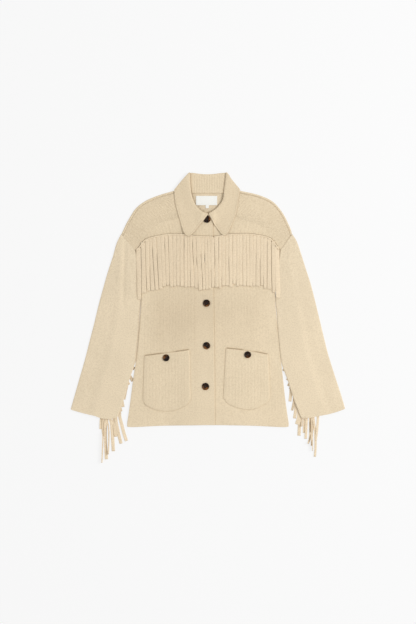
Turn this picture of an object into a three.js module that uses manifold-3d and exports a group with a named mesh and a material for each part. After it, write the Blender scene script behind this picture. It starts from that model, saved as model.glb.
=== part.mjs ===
// A cream knitted jacket with a shirt collar and long fringe, laid flat on its back.
// Millimetres. +X is the viewer's right, +Y runs from hem to collar, +Z is up from the surface.
// Left and right are the viewer's, as the jacket is seen from above.

import * as THREE from "three";
import { mergeVertices } from "three/addons/utils/BufferGeometryUtils.js";
import Module from "manifold-3d";

const wasm = await Module();
wasm.setup();

// Cloth and the gaps between its layers
const WALL = 2.4;            // body, yoke and pocket knit
const SLEEVE_WALL = 1.9;     // the sleeves' lighter jersey
const SLEEVE_AIR = 0.4;      // between the two walls of a flattened sleeve
const LAYER_GAP = 0.3;       // between one layer and the next
const SEAM_GAP = 0.4;        // between two panels that are sewn edge to edge
const YOKE_SEAM_GAP = 0.8;   // between yoke and lower front, where the fringe is sewn in
const RIM = 3;               // width of the soft edge of a panel
const EDGE_DROP = 0.7;       // how much lower a panel's outer face is at its edge
const SWELL = 1.3;           // how far the front stands off the back at its fullest

// Heights along the body, and the widths and lengths of its panels
const HEM_Y = -317;
const YOKE_SEAM_Y = 236;     // where the yoke seam meets the button stand
const BODY_WIDTH = 400;
const FRONT_LENGTH = 550;
const YOKE_WIDTH = 225;
const YOKE_LENGTH = 110;
const POCKET_WIDTH = 135;
const POCKET_LENGTH = 165;

// The back comes over the shoulder to the front
const SHOULDER_ROLL = 5;     // width of the strip that shows
const ROLL_FOOT = 0.6;       // how far its outer edge stands above the back's face
const ROLL_CREST = 2.5;      // and its inner part, beside the yoke
const ROLL_BED = 0.2;        // the back's own face rises by this much under it

// The button stand, where the left front lies over the right one
const PLACKET_LEFT = -35;
const PLACKET_TOP_RIGHT = 16;
const PLACKET_HEM_RIGHT = 21;
const PLACKET_WIDTH = 56;
const OVERLAP_RAMP = 26;     // width beside the stand that the yoke has to climb onto it
const OVERLAP_REST = 8;      // the last part of that width is level

const RIB_HEIGHT = 0.5;
const POCKET_RIBS = 14;
const YOKE_RIBS = 18;
const COVERED_RIBS = 5;      // ribs of the right yoke that lie pressed under the left one
const COLLAR_RIBS = 12;

// Collar
const COLLAR_TOP_Y = 414;
const NECK_SEAM_Y = 360.5;
const BACK_TOP_Y = 368;
const COLLAR_SAG = 3;        // the back of the collar dips this much in the middle
const COLLAR_LAYER = 2.2;
const COLLAR_FULLNESS = 2.6; // extra height where stand and fall lie on each other
const ROLL_EDGE_DROP = 1.8;  // the fall rounds down to the neck along its roll line
const FLAP_WIDTH = 50;
const FLAP_LENGTH = 170;
const BAND_WIDTH = 140;

// Sleeves
const SLEEVE_SOFTNESS = 0.28; // how square the flattened tube's edges are, 1 for an ellipse

// Fringe
const STRAND_WIDTH = 8.6;
const STRAND_THICKNESS = 1.8;
const STRAND_LIFT = 0.15;    // a strand's under face stands above the strip's by this much
const STRAND_UNEVEN = 1.5;   // how far the ends stray from an even line
const FRINGE_STRIP = 4;
const STRIP_FULLNESS = 0.6;  // the strip is thicker than the strands by this much
const SLEEVE_STRAND_WIDTH = 8.4;
const SLEEVE_STRAND_THICKNESS = 0.8;
const SLEEVE_STRAND_FLOOR = 0.3;
const SLEEVE_STRAND_LIFT = 0.05;

// Buttons
const BUTTON_RADIUS = 10.5;
const BUTTON_THICKNESS = 2.8;
const BUTTON_HOLE_RADIUS = 1.0;
const BUTTON_HOLE_OFFSET = 2.0;
const BUTTON_SIDES = 16;
const MOUND_TOP = 24;        // cloth or fringe over a button is raised within this radius
const MOUND_FOOT = 60;       // and level again from this one on

// Woven label and the size tab under it
const LABEL_THICKNESS = 0.6;

const COLOURS = {
  knit: 0xe2cfb2,
  rib: 0xe4d2b6,
  sleeve: 0xe7d7bd,
  collar: 0xe3d1b5,
  fringe: 0xe3d0b2,
  label: 0xf4f0e8,
  button: 0x3a2113,
};
const ROUGHNESS = { cloth: 0.95, label: 0.8, button: 0.25 };

// Tables are given as a line of column names and rows of numbers in that order.
function table(names, rows) {
  const keys = names.split(" ");
  return rows.map((row) => Object.fromEntries(keys.map((key, i) => [key, row[i]])));
}

// Body outline, hem to neck: the left and right edge at each height
const BODY = table("y left right", [
  [-317, -234, 236],   // hem corners
  [-273, -228, 230],
  [-228, -222, 224],
  [-181, -216, 219],
  [-126, -208, 213],
  [-82, -203, 208],
  [-7, -197, 201],
  [60, -193, 196],     // underarm
  [124, -200, 203],
  [195, -209, 211],    // corner of the yoke in the armhole
  [220, -230, 227],
  [243, -250, 245],    // shoulder point, on the outline
  [257, -243, 241],
  [272, -236, 234],
  [293, -224, 224],
  [317, -208, 208],
  [338, -181, 187],
  [355, -141, 150],
  [BACK_TOP_Y, -97, 95],
]);
const YOKE_CORNER_ROW = 9;
const SHOULDER_POINT_ROW = 11;

// Seam between yoke and lower front, from the armhole to the centre
const YOKE_SEAM_LEFT = table("x y", [
  [-209, 195], [-199, 206], [-189, 220], [-178, 229], [-164, 234], [-141, 239],
  [-115, 243], [-68, 243], [-35, 238], [16, 236],
]);
const YOKE_SEAM_RIGHT = table("x y", [
  [-35, 236], [16, 236], [67, 243], [114, 244], [152, 240], [182, 231], [197, 215], [211, 195],
]);

// Neckline of the yokes, from beside the shoulder to the centre front
const NECK_LEFT = table("x y", [[-68, 350], [-50, 330], [-31, 313], [-8, 303], [16, 299]]);
const NECK_RIGHT = table("x y", [[66, 348], [50, 330], [34, 313], [12, 303], [-35, 299]]);

// Hem of both fronts, a little higher in the middle
const HEM = table("x y", [[-234, -317], [-129, -313], [0, -311], [129, -313], [236, -317]]);

// Sleeve stations from below the armhole to the cuff: outer edge, inner edge, how far the
// middle bows toward the cuff, and how far the fringe under the inner half lifts it
const SLEEVE_LEFT = table("outerX outerY innerX innerY bow lift", [
  [-263, 217, -206.6, 167, 0, 0],
  [-274, 179, -202.6, 130, 0, 0],
  [-289, 133, -198, 90, 0, 0],
  [-300, 95, -194.8, 54, 0, 0.4],
  [-315, 40, -198, 10, 0, 2.5],
  [-329, -18, -201.5, -44, 0, 2.5],
  [-344, -76, -206.6, -96, 0, 2.5],
  [-356, -126, -214, -138, 1, 2.5],
  [-370, -172, -228, -185, 3, 2.5],
  [-383, -218, -242, -235, 5, 2.5],
  [-397, -267, -260, -288, 8, 2.5],
]);
const SLEEVE_RIGHT = table("outerX outerY innerX innerY bow lift", [
  [258, 222, 208.6, 167, 0, 0],
  [270, 188, 205.4, 130, 0, 0],
  [285, 141, 201, 90, 0, 0],
  [298, 101, 197.8, 54, 0, 0.4],
  [313, 43, 201.3, 10, 0, 2.5],
  [327, -15, 205.6, -44, 0, 2.5],
  [341, -73, 211.4, -96, 0, 2.5],
  [355, -124, 218, -138, 1, 2.5],
  [370, -172, 233, -185, 3, 2.5],
  [385, -218, 249, -235, 5, 2.5],
  [399, -265, 270, -290, 8, 2.5],
]);

// Collar flaps: roll line from the front neck up to the top, leading edge from point to
// front neck, outer edge from point to shoulder, top edge from shoulder to the roll line
const FLAP_LEFT = {
  roll: table("x y", [[1, 300], [-12, 309], [-23, 317], [-32, 327], [-40, 340], [-46, 356],
    [-49, 378], [-50, 398], [-47, 417]]),
  lead: table("x y", [[-60, 236], [-49, 240], [-35, 254], [-20, 271], [-9, 284], [1, 300]]),
  outer: table("x y", [[-60, 236], [-70, 249], [-79, 273], [-86, 297], [-92, 321], [-95, 343],
    [-97, 369]]),
  top: table("x y", [[-97, 369], [-77, 393], [-64, 411], [-57, 417.5], [-47, 417]]),
};
const FLAP_RIGHT = {
  roll: table("x y", [[4, 300], [19, 312], [32, 326], [41, 340], [45, 354], [48, 373],
    [50, 393], [52, 418]]),
  lead: table("x y", [[49, 237], [41, 241], [28, 258], [16, 274], [9, 286], [4, 300]]),
  outer: table("x y", [[49, 237], [62, 249], [73, 271], [80, 289], [87, 313], [90, 339],
    [94, 371]]),
  top: table("x y", [[94, 371], [78, 392], [67, 408], [61, 418], [52, 418]]),
};

// Patch pockets: opening from outer to inner side, and the bottom from left to right
const POCKET_LEFT = {
  top: table("x y", [[-184, -111], [-138, -105], [-92, -99], [-52, -93]]),
  bottom: table("x y", [[-188, -238], [-182, -251], [-167, -261], [-149, -268], [-123, -271],
    [-94, -268], [-65, -255], [-54, -246], [-48, -235]]),
};
const POCKET_RIGHT = {
  top: table("x y", [[52, -89], [83, -92], [114, -96], [145, -101], [176, -107]]),
  bottom: table("x y", [[45, -232], [54, -245], [71, -256], [97, -264], [123, -266],
    [142, -262], [160, -253], [175, -243], [181, -232]]),
};

// Where the ends of the yoke fringe hang to, and how far each strand leans to the right
const FRINGE_ENDS = table("x y lean", [
  [-200, 50, 3], [-189, 51, 4], [-184, 68, 5], [-171, 79, 6], [-146, 83, 7], [-124, 87, 6],
  [-95, 93, 4], [-71, 90, 4], [-21, 84, 2], [13, 86, 2], [24, 83, 1], [46, 87, 1],
  [65, 92, 1], [99, 94, 1], [142, 94, 1], [159, 87, 2], [180, 84, 3], [188, 60, 8],
  [204, 57, 8],
]);

// Sleeve fringe: distance down the seam where a strand starts, and the end it hangs to
const SLEEVE_FRINGE_LEFT = {
  seam: table("x y", [[-214, 2], [-302, -281]]),
  strands: table("along endX endY", [
    [0.02, -219, -149], [0.09, -222, -185], [0.15, -229, -197], [0.22, -241, -237],
    [0.29, -246, -258], [0.36, -252, -281], [0.44, -240, -356], [0.52, -253, -364],
    [0.60, -265, -345], [0.68, -274, -387], [0.76, -287, -396], [0.83, -294, -411],
    [0.89, -305, -419], [0.94, -302, -345], [0.985, -311, -324],
  ]),
};
const SLEEVE_FRINGE_RIGHT = {
  seam: table("x y", [[216, 2], [316, -281]]),
  strands: table("along endX endY", [
    [0.02, 223, -155], [0.09, 231, -181], [0.16, 235, -198], [0.22, 240, -210],
    [0.29, 244, -244], [0.36, 249, -269], [0.43, 253, -286], [0.50, 260, -310],
    [0.57, 267, -343], [0.64, 277, -334], [0.71, 283, -351], [0.78, 291, -365],
    [0.85, 300, -372], [0.92, 305, -384], [0.98, 312, -403],
  ]),
};

const BUTTONS = table("x y", [[-2, 285], [-3, 164], [-3, 42], [-3, -81], [-6, -199]]);
const POCKET_BUTTONS = { left: { x: -120, y: -116 }, right: { x: 116, y: -107 } };
const LABEL = { left: -34, right: 28, bottom: 326, top: 353 };
const SIZE_TAB = { left: -5, right: 4, bottom: 317, top: 325.6 };

// Lines and patches

const { clamp, lerp, smoothstep } = THREE.MathUtils;

// A line of points read by its own rows: t runs evenly over the rows
function byRow(points) {
  const last = points.length - 1;
  return (t) => {
    const i = Math.min(Math.floor(t * last), last - 1);
    const f = t * last - i;
    return {
      x: lerp(points[i].x, points[i + 1].x, f),
      y: lerp(points[i].y, points[i + 1].y, f),
    };
  };
}

// A smooth curve through points, read by its length
function byLength(points) {
  const curve = new THREE.SplineCurve(points.map((p) => new THREE.Vector2(p.x, p.y)));
  curve.arcLengthDivisions = 400;
  return (t) => curve.getPointAt(t);
}

// Straight pieces between points, read by their length
function byPieces(points) {
  const path = new THREE.CurvePath();
  const at = points.map((p) => new THREE.Vector2(p.x, p.y));
  at.slice(1).forEach((p, i) => path.add(new THREE.LineCurve(at[i], p)));
  return (t) => path.getPoint(t);
}

// Height of a line that is read as y against x
function heightAt(points, x, key = "y") {
  for (let i = 0; i < points.length - 1; i++) {
    const a = points[i];
    const b = points[i + 1];
    if ((x - a.x) * (x - b.x) <= 0) return lerp(a[key], b[key], (x - a.x) / (b.x - a.x));
  }
  const nearFirst = Math.abs(x - points[0].x) < Math.abs(x - points.at(-1).x);
  return nearFirst ? points[0][key] : points.at(-1)[key];
}

// A patch spanned by its four edges: bottom and top run along +X, left and right along +Y
function patchOf(bottom, top, left, right) {
  const corners = [bottom(0), bottom(1), top(0), top(1)];
  return (u, v) => {
    const [b, t, l, r] = [bottom(u), top(u), left(v), right(v)];
    const blend = (k) => (1 - v) * b[k] + v * t[k] + (1 - u) * l[k] + u * r[k]
      - (1 - u) * (1 - v) * corners[0][k] - u * (1 - v) * corners[1][k]
      - (1 - u) * v * corners[2][k] - u * v * corners[3][k];
    return { x: blend("x"), y: blend("y") };
  };
}

// Stations from 0 to 1, with a narrow first and last cell for the soft edge
function stations(count, length) {
  const rim = RIM / length;
  const inner = Array.from({ length: count + 1 }, (_, i) => lerp(rim, 1 - rim, i / count));
  return [0, ...inner, 1];
}

// Stations on the rows of a line, with the same soft edges
function rowStations(points, length) {
  const last = points.length - 1;
  const rim = RIM / length;
  const inner = points.slice(1, -1).map((_, i) => (i + 1) / last);
  return [0, rim, ...inner, 1 - rim, 1];
}

// A line moved to its right-hand side, which is downward for one that runs along +X
function beside(points, distance) {
  return points.map((p, i) => {
    const a = points[Math.max(i - 1, 0)];
    const b = points[Math.min(i + 1, points.length - 1)];
    const along = new THREE.Vector2(b.x - a.x, b.y - a.y).normalize();
    return { x: p.x + along.y * distance, y: p.y - along.x * distance };
  });
}

// Stations with a crest and a valley for each rib
function ribStations(ribs, length) {
  return stations(2 * ribs, length);
}

// What lies under the front's loose pieces

// The front stands off the back in two broad soft swells, one on each side of the buttons
function swell(x, y) {
  const across = Math.sin(Math.PI * clamp(Math.abs(x) / (BODY_WIDTH / 2), 0, 1));
  const along = smoothstep(y, HEM_Y, -200) * (1 - smoothstep(y, 180, 290));
  return SWELL * across * along;
}

// Height gained where the left front climbs onto the button stand of the right one
function overlap(x, foot = PLACKET_LEFT - OVERLAP_RAMP) {
  return (WALL + LAYER_GAP) * smoothstep(x, foot, foot + OVERLAP_RAMP - OVERLAP_REST);
}

const BACK_FACE = WALL;
const frontUnder = (x, y) => BACK_FACE + LAYER_GAP + swell(x, y);
const frontFace = (x, y) => frontUnder(x, y) + WALL;
const placketRight = (y) => (
  lerp(PLACKET_HEM_RIGHT, PLACKET_TOP_RIGHT, smoothstep(y, HEM_Y, YOKE_SEAM_Y))
);

// Outer face of the stack at the button stand and beside it
function standFace(x, y) {
  const onStand = x <= placketRight(y) + 1 ? overlap(x) : 0;
  return frontFace(x, y) + onStand;
}

// A low mound over a button, for what lies across it
function mound(x, y, button, height) {
  const distance = Math.hypot(x - button.x, y - button.y);
  return height * (1 - smoothstep(distance, MOUND_TOP, MOUND_FOOT));
}

// Solids

function geometryOf(positions, faces) {
  const geometry = new THREE.BufferGeometry();
  geometry.setAttribute("position", new THREE.Float32BufferAttribute(positions, 3));
  geometry.setIndex(faces);
  return geometry;
}

// Shared vertices joined and empty triangles left out
function welded(source) {
  const bare = source.clone();
  for (const name of Object.keys(bare.attributes)) {
    if (name !== "position") bare.deleteAttribute(name);
  }
  const geometry = mergeVertices(bare, 1e-4);
  const index = geometry.index.array;
  const kept = [];
  for (let i = 0; i < index.length; i += 3) {
    const [a, b, c] = [index[i], index[i + 1], index[i + 2]];
    if (a !== b && b !== c && c !== a) kept.push(a, b, c);
  }
  geometry.setIndex(kept);
  return geometry;
}

function toSolid(source) {
  const geometry = welded(source);
  return new wasm.Manifold(new wasm.Mesh({
    numProp: 3,
    vertProperties: new Float32Array(geometry.attributes.position.array),
    triVerts: new Uint32Array(geometry.index.array),
  }));
}

function toGeometry(solid) {
  const mesh = solid.getMesh();
  return geometryOf(Array.from(mesh.vertProperties), Array.from(mesh.triVerts));
}

// Overlapping closed shapes made into one body, without the slivers that a join can leave
function joined(geometries) {
  const whole = geometries.map(toSolid).reduce((sum, part) => sum.add(part));
  const bodies = whole.decompose().sort((a, b) => b.volume() - a.volume());
  return toGeometry(bodies[0]);
}

// A closed layer over a patch, between an under face and an outer face
function layer(patch, us, vs, under, outer) {
  const positions = [];
  const faces = [];
  const across = us.length;
  const count = across * vs.length;
  for (const face of [under, outer]) {
    vs.forEach((v, j) => us.forEach((u, i) => {
      const { x, y } = patch(u, v);
      positions.push(x, y, face(x, y, i, j));
    }));
  }
  const at = (i, j) => j * across + i;
  const quad = (a, b, c, d) => faces.push(a, b, c, a, c, d);
  for (let j = 0; j < vs.length - 1; j++) {
    for (let i = 0; i < across - 1; i++) {
      const [a, b, c, d] = [at(i, j), at(i + 1, j), at(i + 1, j + 1), at(i, j + 1)];
      quad(count + a, count + b, count + c, count + d);
      quad(d, c, b, a);
    }
  }
  const rim = [
    ...us.map((_, i) => at(i, 0)),
    ...vs.slice(1).map((_, j) => at(across - 1, j + 1)),
    ...us.slice(1).map((_, i) => at(across - 2 - i, vs.length - 1)),
    ...vs.slice(1, -1).map((_, j) => at(0, vs.length - 2 - j)),
  ];
  rim.forEach((a, k) => {
    const b = rim[(k + 1) % rim.length];
    quad(a, b, count + b, count + a);
  });
  return geometryOf(positions, faces);
}

// Outer face of a panel: its under face plus the wall, lower along the panel's soft edge
function outerFace(under, wall, us, vs, relief = () => 0) {
  return (x, y, i, j) => {
    const atEdge = i === 0 || j === 0 || i === us.length - 1 || j === vs.length - 1;
    return under(x, y) + wall + (atEdge ? -EDGE_DROP : relief(i, j));
  };
}

function panel(patch, us, vs, under, relief) {
  return layer(patch, us, vs, under, outerFace(under, WALL, us, vs, relief));
}

// Rib crests on every second station between the soft edges
const ribs = (i) => (i % 2 === 0 ? RIB_HEIGHT : 0);

// Scene graph

const jacket = new THREE.Group();
jacket.name = "sweater_jacket";

function add(name, geometry, colour, roughness = ROUGHNESS.cloth) {
  const material = new THREE.MeshStandardMaterial({ color: colour, roughness, metalness: 0 });
  const mesh = new THREE.Mesh(geometry, material);
  mesh.name = name;
  jacket.add(mesh);
  return mesh;
}

// Back: one panel from hem to shoulders, thick where it rolls over the shoulder
function back() {
  const last = BODY.length - 1;
  const [hemRow, topRow] = [BODY[0], BODY[last]];
  const edge = (key) => byRow(BODY.map((row) => ({ x: row[key], y: row.y })));
  const hem = (u) => {
    const x = lerp(hemRow.left, hemRow.right, u);
    return { x, y: heightAt(HEM, x) };
  };
  const top = (u) => ({ x: lerp(topRow.left, topRow.right, u), y: BACK_TOP_Y });
  const us = stations(4, BODY_WIDTH);
  const vs = BODY.map((_, i) => i / last);
  const patch = patchOf(hem, top, edge("left"), edge("right"));
  const face = (x, y, i, j) => {
    const atSide = i === 0 || i === us.length - 1;
    const underRoll = atSide && j > SHOULDER_POINT_ROW && j < last;
    return BACK_FACE + (underRoll ? ROLL_BED : 0);
  };
  return layer(patch, us, vs, () => 0, face);
}

// A line inside the shoulder's outline, from the shoulder point to the neck
function shoulderLine(side, inset) {
  const outline = BODY.slice(SHOULDER_POINT_ROW)
    .map((row) => ({ x: side < 0 ? row.left : row.right, y: row.y }));
  return outline.map((p, i) => {
    const a = outline[Math.max(i - 1, 0)];
    const b = outline[Math.min(i + 1, outline.length - 1)];
    const along = new THREE.Vector2(b.x - a.x, b.y - a.y).normalize();
    return { x: p.x - side * inset * Math.abs(along.y), y: p.y - inset * Math.abs(along.x) };
  });
}

// The strip of the back that shows over the shoulder
function shoulderRoll(side) {
  const outline = shoulderLine(side, 0);
  const inward = shoulderLine(side, SHOULDER_ROLL);
  const [left, right] = side < 0 ? [outline, inward] : [inward, outline];
  const end = (i) => byRow([left.at(i), right.at(i)]);
  const patch = patchOf(end(0), end(-1), byRow(left), byRow(right));
  const us = [0, 0.35, 1];
  const vs = outline.map((_, i) => i / (outline.length - 1));
  const lowEdge = side < 0 ? 0 : us.length - 1;
  const face = (x, y, i) => BACK_FACE + (i === lowEdge ? ROLL_FOOT : ROLL_CREST);
  return layer(patch, us, vs, () => BACK_FACE / 2, face);
}

// Lower fronts, from hem to yoke seam
function front(side) {
  const rows = BODY.slice(0, YOKE_CORNER_ROW + 1);
  const last = rows.length - 1;
  const centre = PLACKET_LEFT + side * SEAM_GAP / 2;
  const seamRows = side < 0 ? YOKE_SEAM_LEFT.filter((p) => p.x <= PLACKET_LEFT) : YOKE_SEAM_RIGHT;
  const seam = beside(seamRows, YOKE_SEAM_GAP);
  seam[side < 0 ? seam.length - 1 : 0].x = centre;
  const outline = rows.map((row) => ({ x: side < 0 ? row.left : row.right, y: row.y }));
  outline[last] = seam[side < 0 ? 0 : seam.length - 1];
  const top = seam[side < 0 ? seam.length - 1 : 0];
  const hemY = heightAt(HEM, centre);
  const middle = (t) => ({ x: centre, y: lerp(hemY, top.y, t) });
  const [from, to] = side < 0 ? [rows[0].left, centre] : [centre, rows[0].right];
  const hem = (u) => ({ x: lerp(from, to, u), y: heightAt(HEM, lerp(from, to, u)) });
  const patch = side < 0
    ? patchOf(hem, byRow(seam), byRow(outline), middle)
    : patchOf(hem, byRow(seam), middle, byRow(outline));
  return panel(patch, rowStations(seam, to - from), rowStations(outline, FRONT_LENGTH), frontUnder);
}

// The buttoning band, lying on the right front from the yoke seam to the hem
function placket() {
  const left = PLACKET_LEFT - 1;
  const seamY = (x) => heightAt(YOKE_SEAM_LEFT, x) - SEAM_GAP;
  const hemY = (x) => heightAt(HEM, x);
  const top = (u) => {
    const x = lerp(left, PLACKET_TOP_RIGHT, u);
    return { x, y: seamY(x) };
  };
  const hem = (u) => {
    const x = lerp(left, PLACKET_HEM_RIGHT, u);
    return { x, y: hemY(x) };
  };
  const right = (v) => {
    const y = lerp(hem(1).y, top(1).y, v);
    return { x: placketRight(y), y };
  };
  const patch = patchOf(hem, top, (v) => ({ x: left, y: lerp(hem(0).y, top(0).y, v) }), right);
  const under = (x, y) => frontFace(x, y) + LAYER_GAP;
  return panel(patch, stations(2, PLACKET_WIDTH), stations(9, FRONT_LENGTH), under);
}

// Yokes: ribs run from the yoke seam up to the shoulder seam
function yoke(side) {
  const seam = byPieces(side < 0 ? YOKE_SEAM_LEFT : YOKE_SEAM_RIGHT);
  const shoulder = shoulderLine(side, SHOULDER_ROLL + SEAM_GAP);
  const neck = side < 0 ? NECK_LEFT : NECK_RIGHT;
  const centreEdge = byPieces([seam(side < 0 ? 1 : 0), ...[...neck].reverse(), shoulder.at(-1)]);
  const armhole = byPieces([seam(side < 0 ? 0 : 1), shoulder[0]]);
  const shoulderSeam = byPieces(side < 0 ? shoulder : [...shoulder].reverse());
  const patch = side < 0
    ? patchOf(seam, shoulderSeam, armhole, centreEdge)
    : patchOf(seam, shoulderSeam, centreEdge, armhole);
  const under = (x, y) => frontUnder(x, y) + (side < 0 ? overlap(x) : 0);
  const us = ribStations(YOKE_RIBS, YOKE_WIDTH);
  const relief = (i) => (side > 0 && i < 2 * COVERED_RIBS ? 0 : ribs(i));
  return panel(patch, us, stations(side < 0 ? 5 : 3, YOKE_LENGTH), under, relief);
}

// A sleeve's first station, laid against the body's armhole
function armholeRow(side) {
  const key = side < 0 ? "left" : "right";
  const [corner, shoulder] = [BODY[YOKE_CORNER_ROW], BODY[SHOULDER_POINT_ROW]]
    .map((row) => ({ x: row[key], y: row.y }));
  const line = side < 0 ? [shoulder, corner] : [corner, shoulder];
  const [first, second] = beside(line, SEAM_GAP);
  const [outer, inner] = side < 0 ? [first, second] : [second, first];
  return { outerX: outer.x, outerY: outer.y, innerX: inner.x, innerY: inner.y, bow: 0, lift: 0 };
}

// Sleeve: a tube pressed flat, open at both ends, its two walls almost touching
function sleeve(lowerRows, side) {
  const rows = [armholeRow(side), ...lowerRows];
  const around = 20;
  const steps = rows.length - 1;
  const half = SLEEVE_WALL + SLEEVE_AIR / 2;
  const positions = [];
  const faces = [];
  for (let s = 0; s <= steps; s++) {
    const row = rows[s];
    const outer = new THREE.Vector2(row.outerX, row.outerY);
    const inner = new THREE.Vector2(row.innerX, row.innerY);
    const across = inner.clone().sub(outer);
    const width = across.length();
    across.normalize();
    const down = new THREE.Vector2(across.y, -across.x).multiplyScalar(side < 0 ? 1 : -1);
    for (const inset of [0, SLEEVE_WALL]) {
      for (let k = 0; k < around; k++) {
        const angle = (2 * Math.PI * k) / around;
        const reach = width / 2 - (width / 2 - inset) * Math.cos(angle);
        const share = reach / width;
        const rise = half - inset;
        const upper = rise * Math.abs(Math.sin(angle)) ** SLEEVE_SOFTNESS;
        const onEdge = k === 0 || k === around / 2;
        const z = onEdge ? 0 : k < around / 2 ? upper : -rise;
        const lift = row.lift * smoothstep(share, 0.3, 0.5);
        const bow = row.bow * Math.sin(Math.PI * share);
        const p = outer.clone().addScaledVector(across, reach).addScaledVector(down, bow);
        positions.push(p.x, p.y, half + z + lift);
      }
    }
  }
  const at = (s, ring, k) => (2 * s + ring) * around + (k % around);
  const quad = (a, b, c, d) => {
    const turned = side < 0 ? [a, b, c, d] : [d, c, b, a];
    faces.push(turned[0], turned[1], turned[2], turned[0], turned[2], turned[3]);
  };
  for (let k = 0; k < around; k++) {
    for (let s = 0; s < steps; s++) {
      quad(at(s, 0, k), at(s + 1, 0, k), at(s + 1, 0, k + 1), at(s, 0, k + 1));
      quad(at(s, 1, k + 1), at(s + 1, 1, k + 1), at(s + 1, 1, k), at(s, 1, k));
    }
    quad(at(0, 0, k), at(0, 0, k + 1), at(0, 1, k + 1), at(0, 1, k));
    quad(at(steps, 0, k + 1), at(steps, 0, k), at(steps, 1, k), at(steps, 1, k + 1));
  }
  return geometryOf(positions, faces);
}

// Collar: the fall lies over the yokes at both sides, and the stand shows behind the neck
function collarRest(x, y) {
  const onYoke = frontFace(x, y) + RIB_HEIGHT + SEAM_GAP;
  const standFoot = PLACKET_LEFT - 1.5 * OVERLAP_RAMP;
  const onStand = overlap(x, standFoot) * (1 - smoothstep(x, 24, 36));
  const onButton = mound(x, y, BUTTONS[0], BUTTON_THICKNESS + 2 * LAYER_GAP);
  const strip = STRAND_THICKNESS + STRIP_FULLNESS + LAYER_GAP;
  const onFringe = strip * (1 - smoothstep(y, YOKE_SEAM_Y + 10, YOKE_SEAM_Y + 34));
  return onYoke + onStand + Math.max(onButton, onFringe);
}

function flap(shape) {
  const mirrored = shape.outer[0].x > 0;
  const roll = byLength(shape.roll);
  const outer = byLength(shape.outer);
  const lead = byLength(mirrored ? [...shape.lead].reverse() : shape.lead);
  const top = byLength(mirrored ? [...shape.top].reverse() : shape.top);
  const patch = mirrored ? patchOf(lead, top, roll, outer) : patchOf(lead, top, outer, roll);
  const us = stations(5, FLAP_WIDTH);
  const vs = stations(12, FLAP_LENGTH);
  const face = (x, y, i, j) => {
    const u = mirrored ? 1 - us[i] : us[i];
    const full = smoothstep(u, 0, 0.75) * smoothstep(vs[j], 0, 0.4);
    const atRoll = i === (mirrored ? 0 : us.length - 1);
    const atEdge = i === 0 || j === 0 || i === us.length - 1 || j === vs.length - 1;
    const drop = atRoll ? ROLL_EDGE_DROP : atEdge ? EDGE_DROP : 0;
    return collarRest(x, y) + COLLAR_LAYER + COLLAR_FULLNESS * full - drop;
  };
  return layer(patch, us, vs, collarRest, face);
}

// The back of the collar: its ribbed inner side shows, and it lies on the surface above the back
function collarBand() {
  const rows = table("y left right under", [
    [NECK_SEAM_Y, -62, 62, BACK_FACE + LAYER_GAP],
    [BACK_TOP_Y + 0.6, -64, 64, BACK_FACE + LAYER_GAP],
    [BACK_TOP_Y + 1, -82, 80, 0],
    [400, -68, 70, 0],
    [COLLAR_TOP_Y, -56, 60, 0],
  ]);
  const left = byRow(rows.map((row) => ({ x: row.left, y: row.y })));
  const right = byRow(rows.map((row) => ({ x: row.right, y: row.y })));
  const sag = (u, v) => COLLAR_SAG * (1 - (2 * u - 1) ** 2) * smoothstep(v, 0.6, 1);
  const patch = (u, v) => ({ x: lerp(left(v).x, right(v).x, u), y: left(v).y - sag(u, v) });
  const us = ribStations(COLLAR_RIBS, BAND_WIDTH);
  const vs = rows.map((_, i) => i / (rows.length - 1));
  const face = (x, y, i, j) => {
    const atEdge = j === 0 || j === rows.length - 1;
    const relief = atEdge ? -EDGE_DROP : ribs(i);
    const intoFall = COLLAR_LAYER * smoothstep(Math.abs(x), 44, 60);
    return BACK_FACE + LAYER_GAP + COLLAR_LAYER + relief + intoFall;
  };
  return layer(patch, us, vs, (x, y, i, j) => rows[j].under, face);
}

// One strand of fringe along a line, lying at the height that the line's points give
function strand(points, width, thickness) {
  const positions = [];
  const faces = [];
  points.forEach((p, i) => {
    const a = points[Math.max(i - 1, 0)];
    const b = points[Math.min(i + 1, points.length - 1)];
    const along = new THREE.Vector2(b.x - a.x, b.y - a.y).normalize();
    const half = width / 2;
    const [dx, dy] = [-along.y * half, along.x * half];
    positions.push(p.x + dx, p.y + dy, p.z, p.x - dx, p.y - dy, p.z);
    positions.push(p.x - dx, p.y - dy, p.z + thickness, p.x + dx, p.y + dy, p.z + thickness);
  });
  const quad = (a, b, c, d) => faces.push(a, b, c, a, c, d);
  for (let i = 0; i < points.length - 1; i++) {
    for (let k = 0; k < 4; k++) {
      const next = (k + 1) % 4;
      quad(4 * i + k, 4 * i + 4 + k, 4 * i + 4 + next, 4 * i + next);
    }
  }
  quad(0, 1, 2, 3);
  const end = 4 * (points.length - 1);
  quad(end + 3, end + 2, end + 1, end);
  return geometryOf(positions, faces);
}

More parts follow.
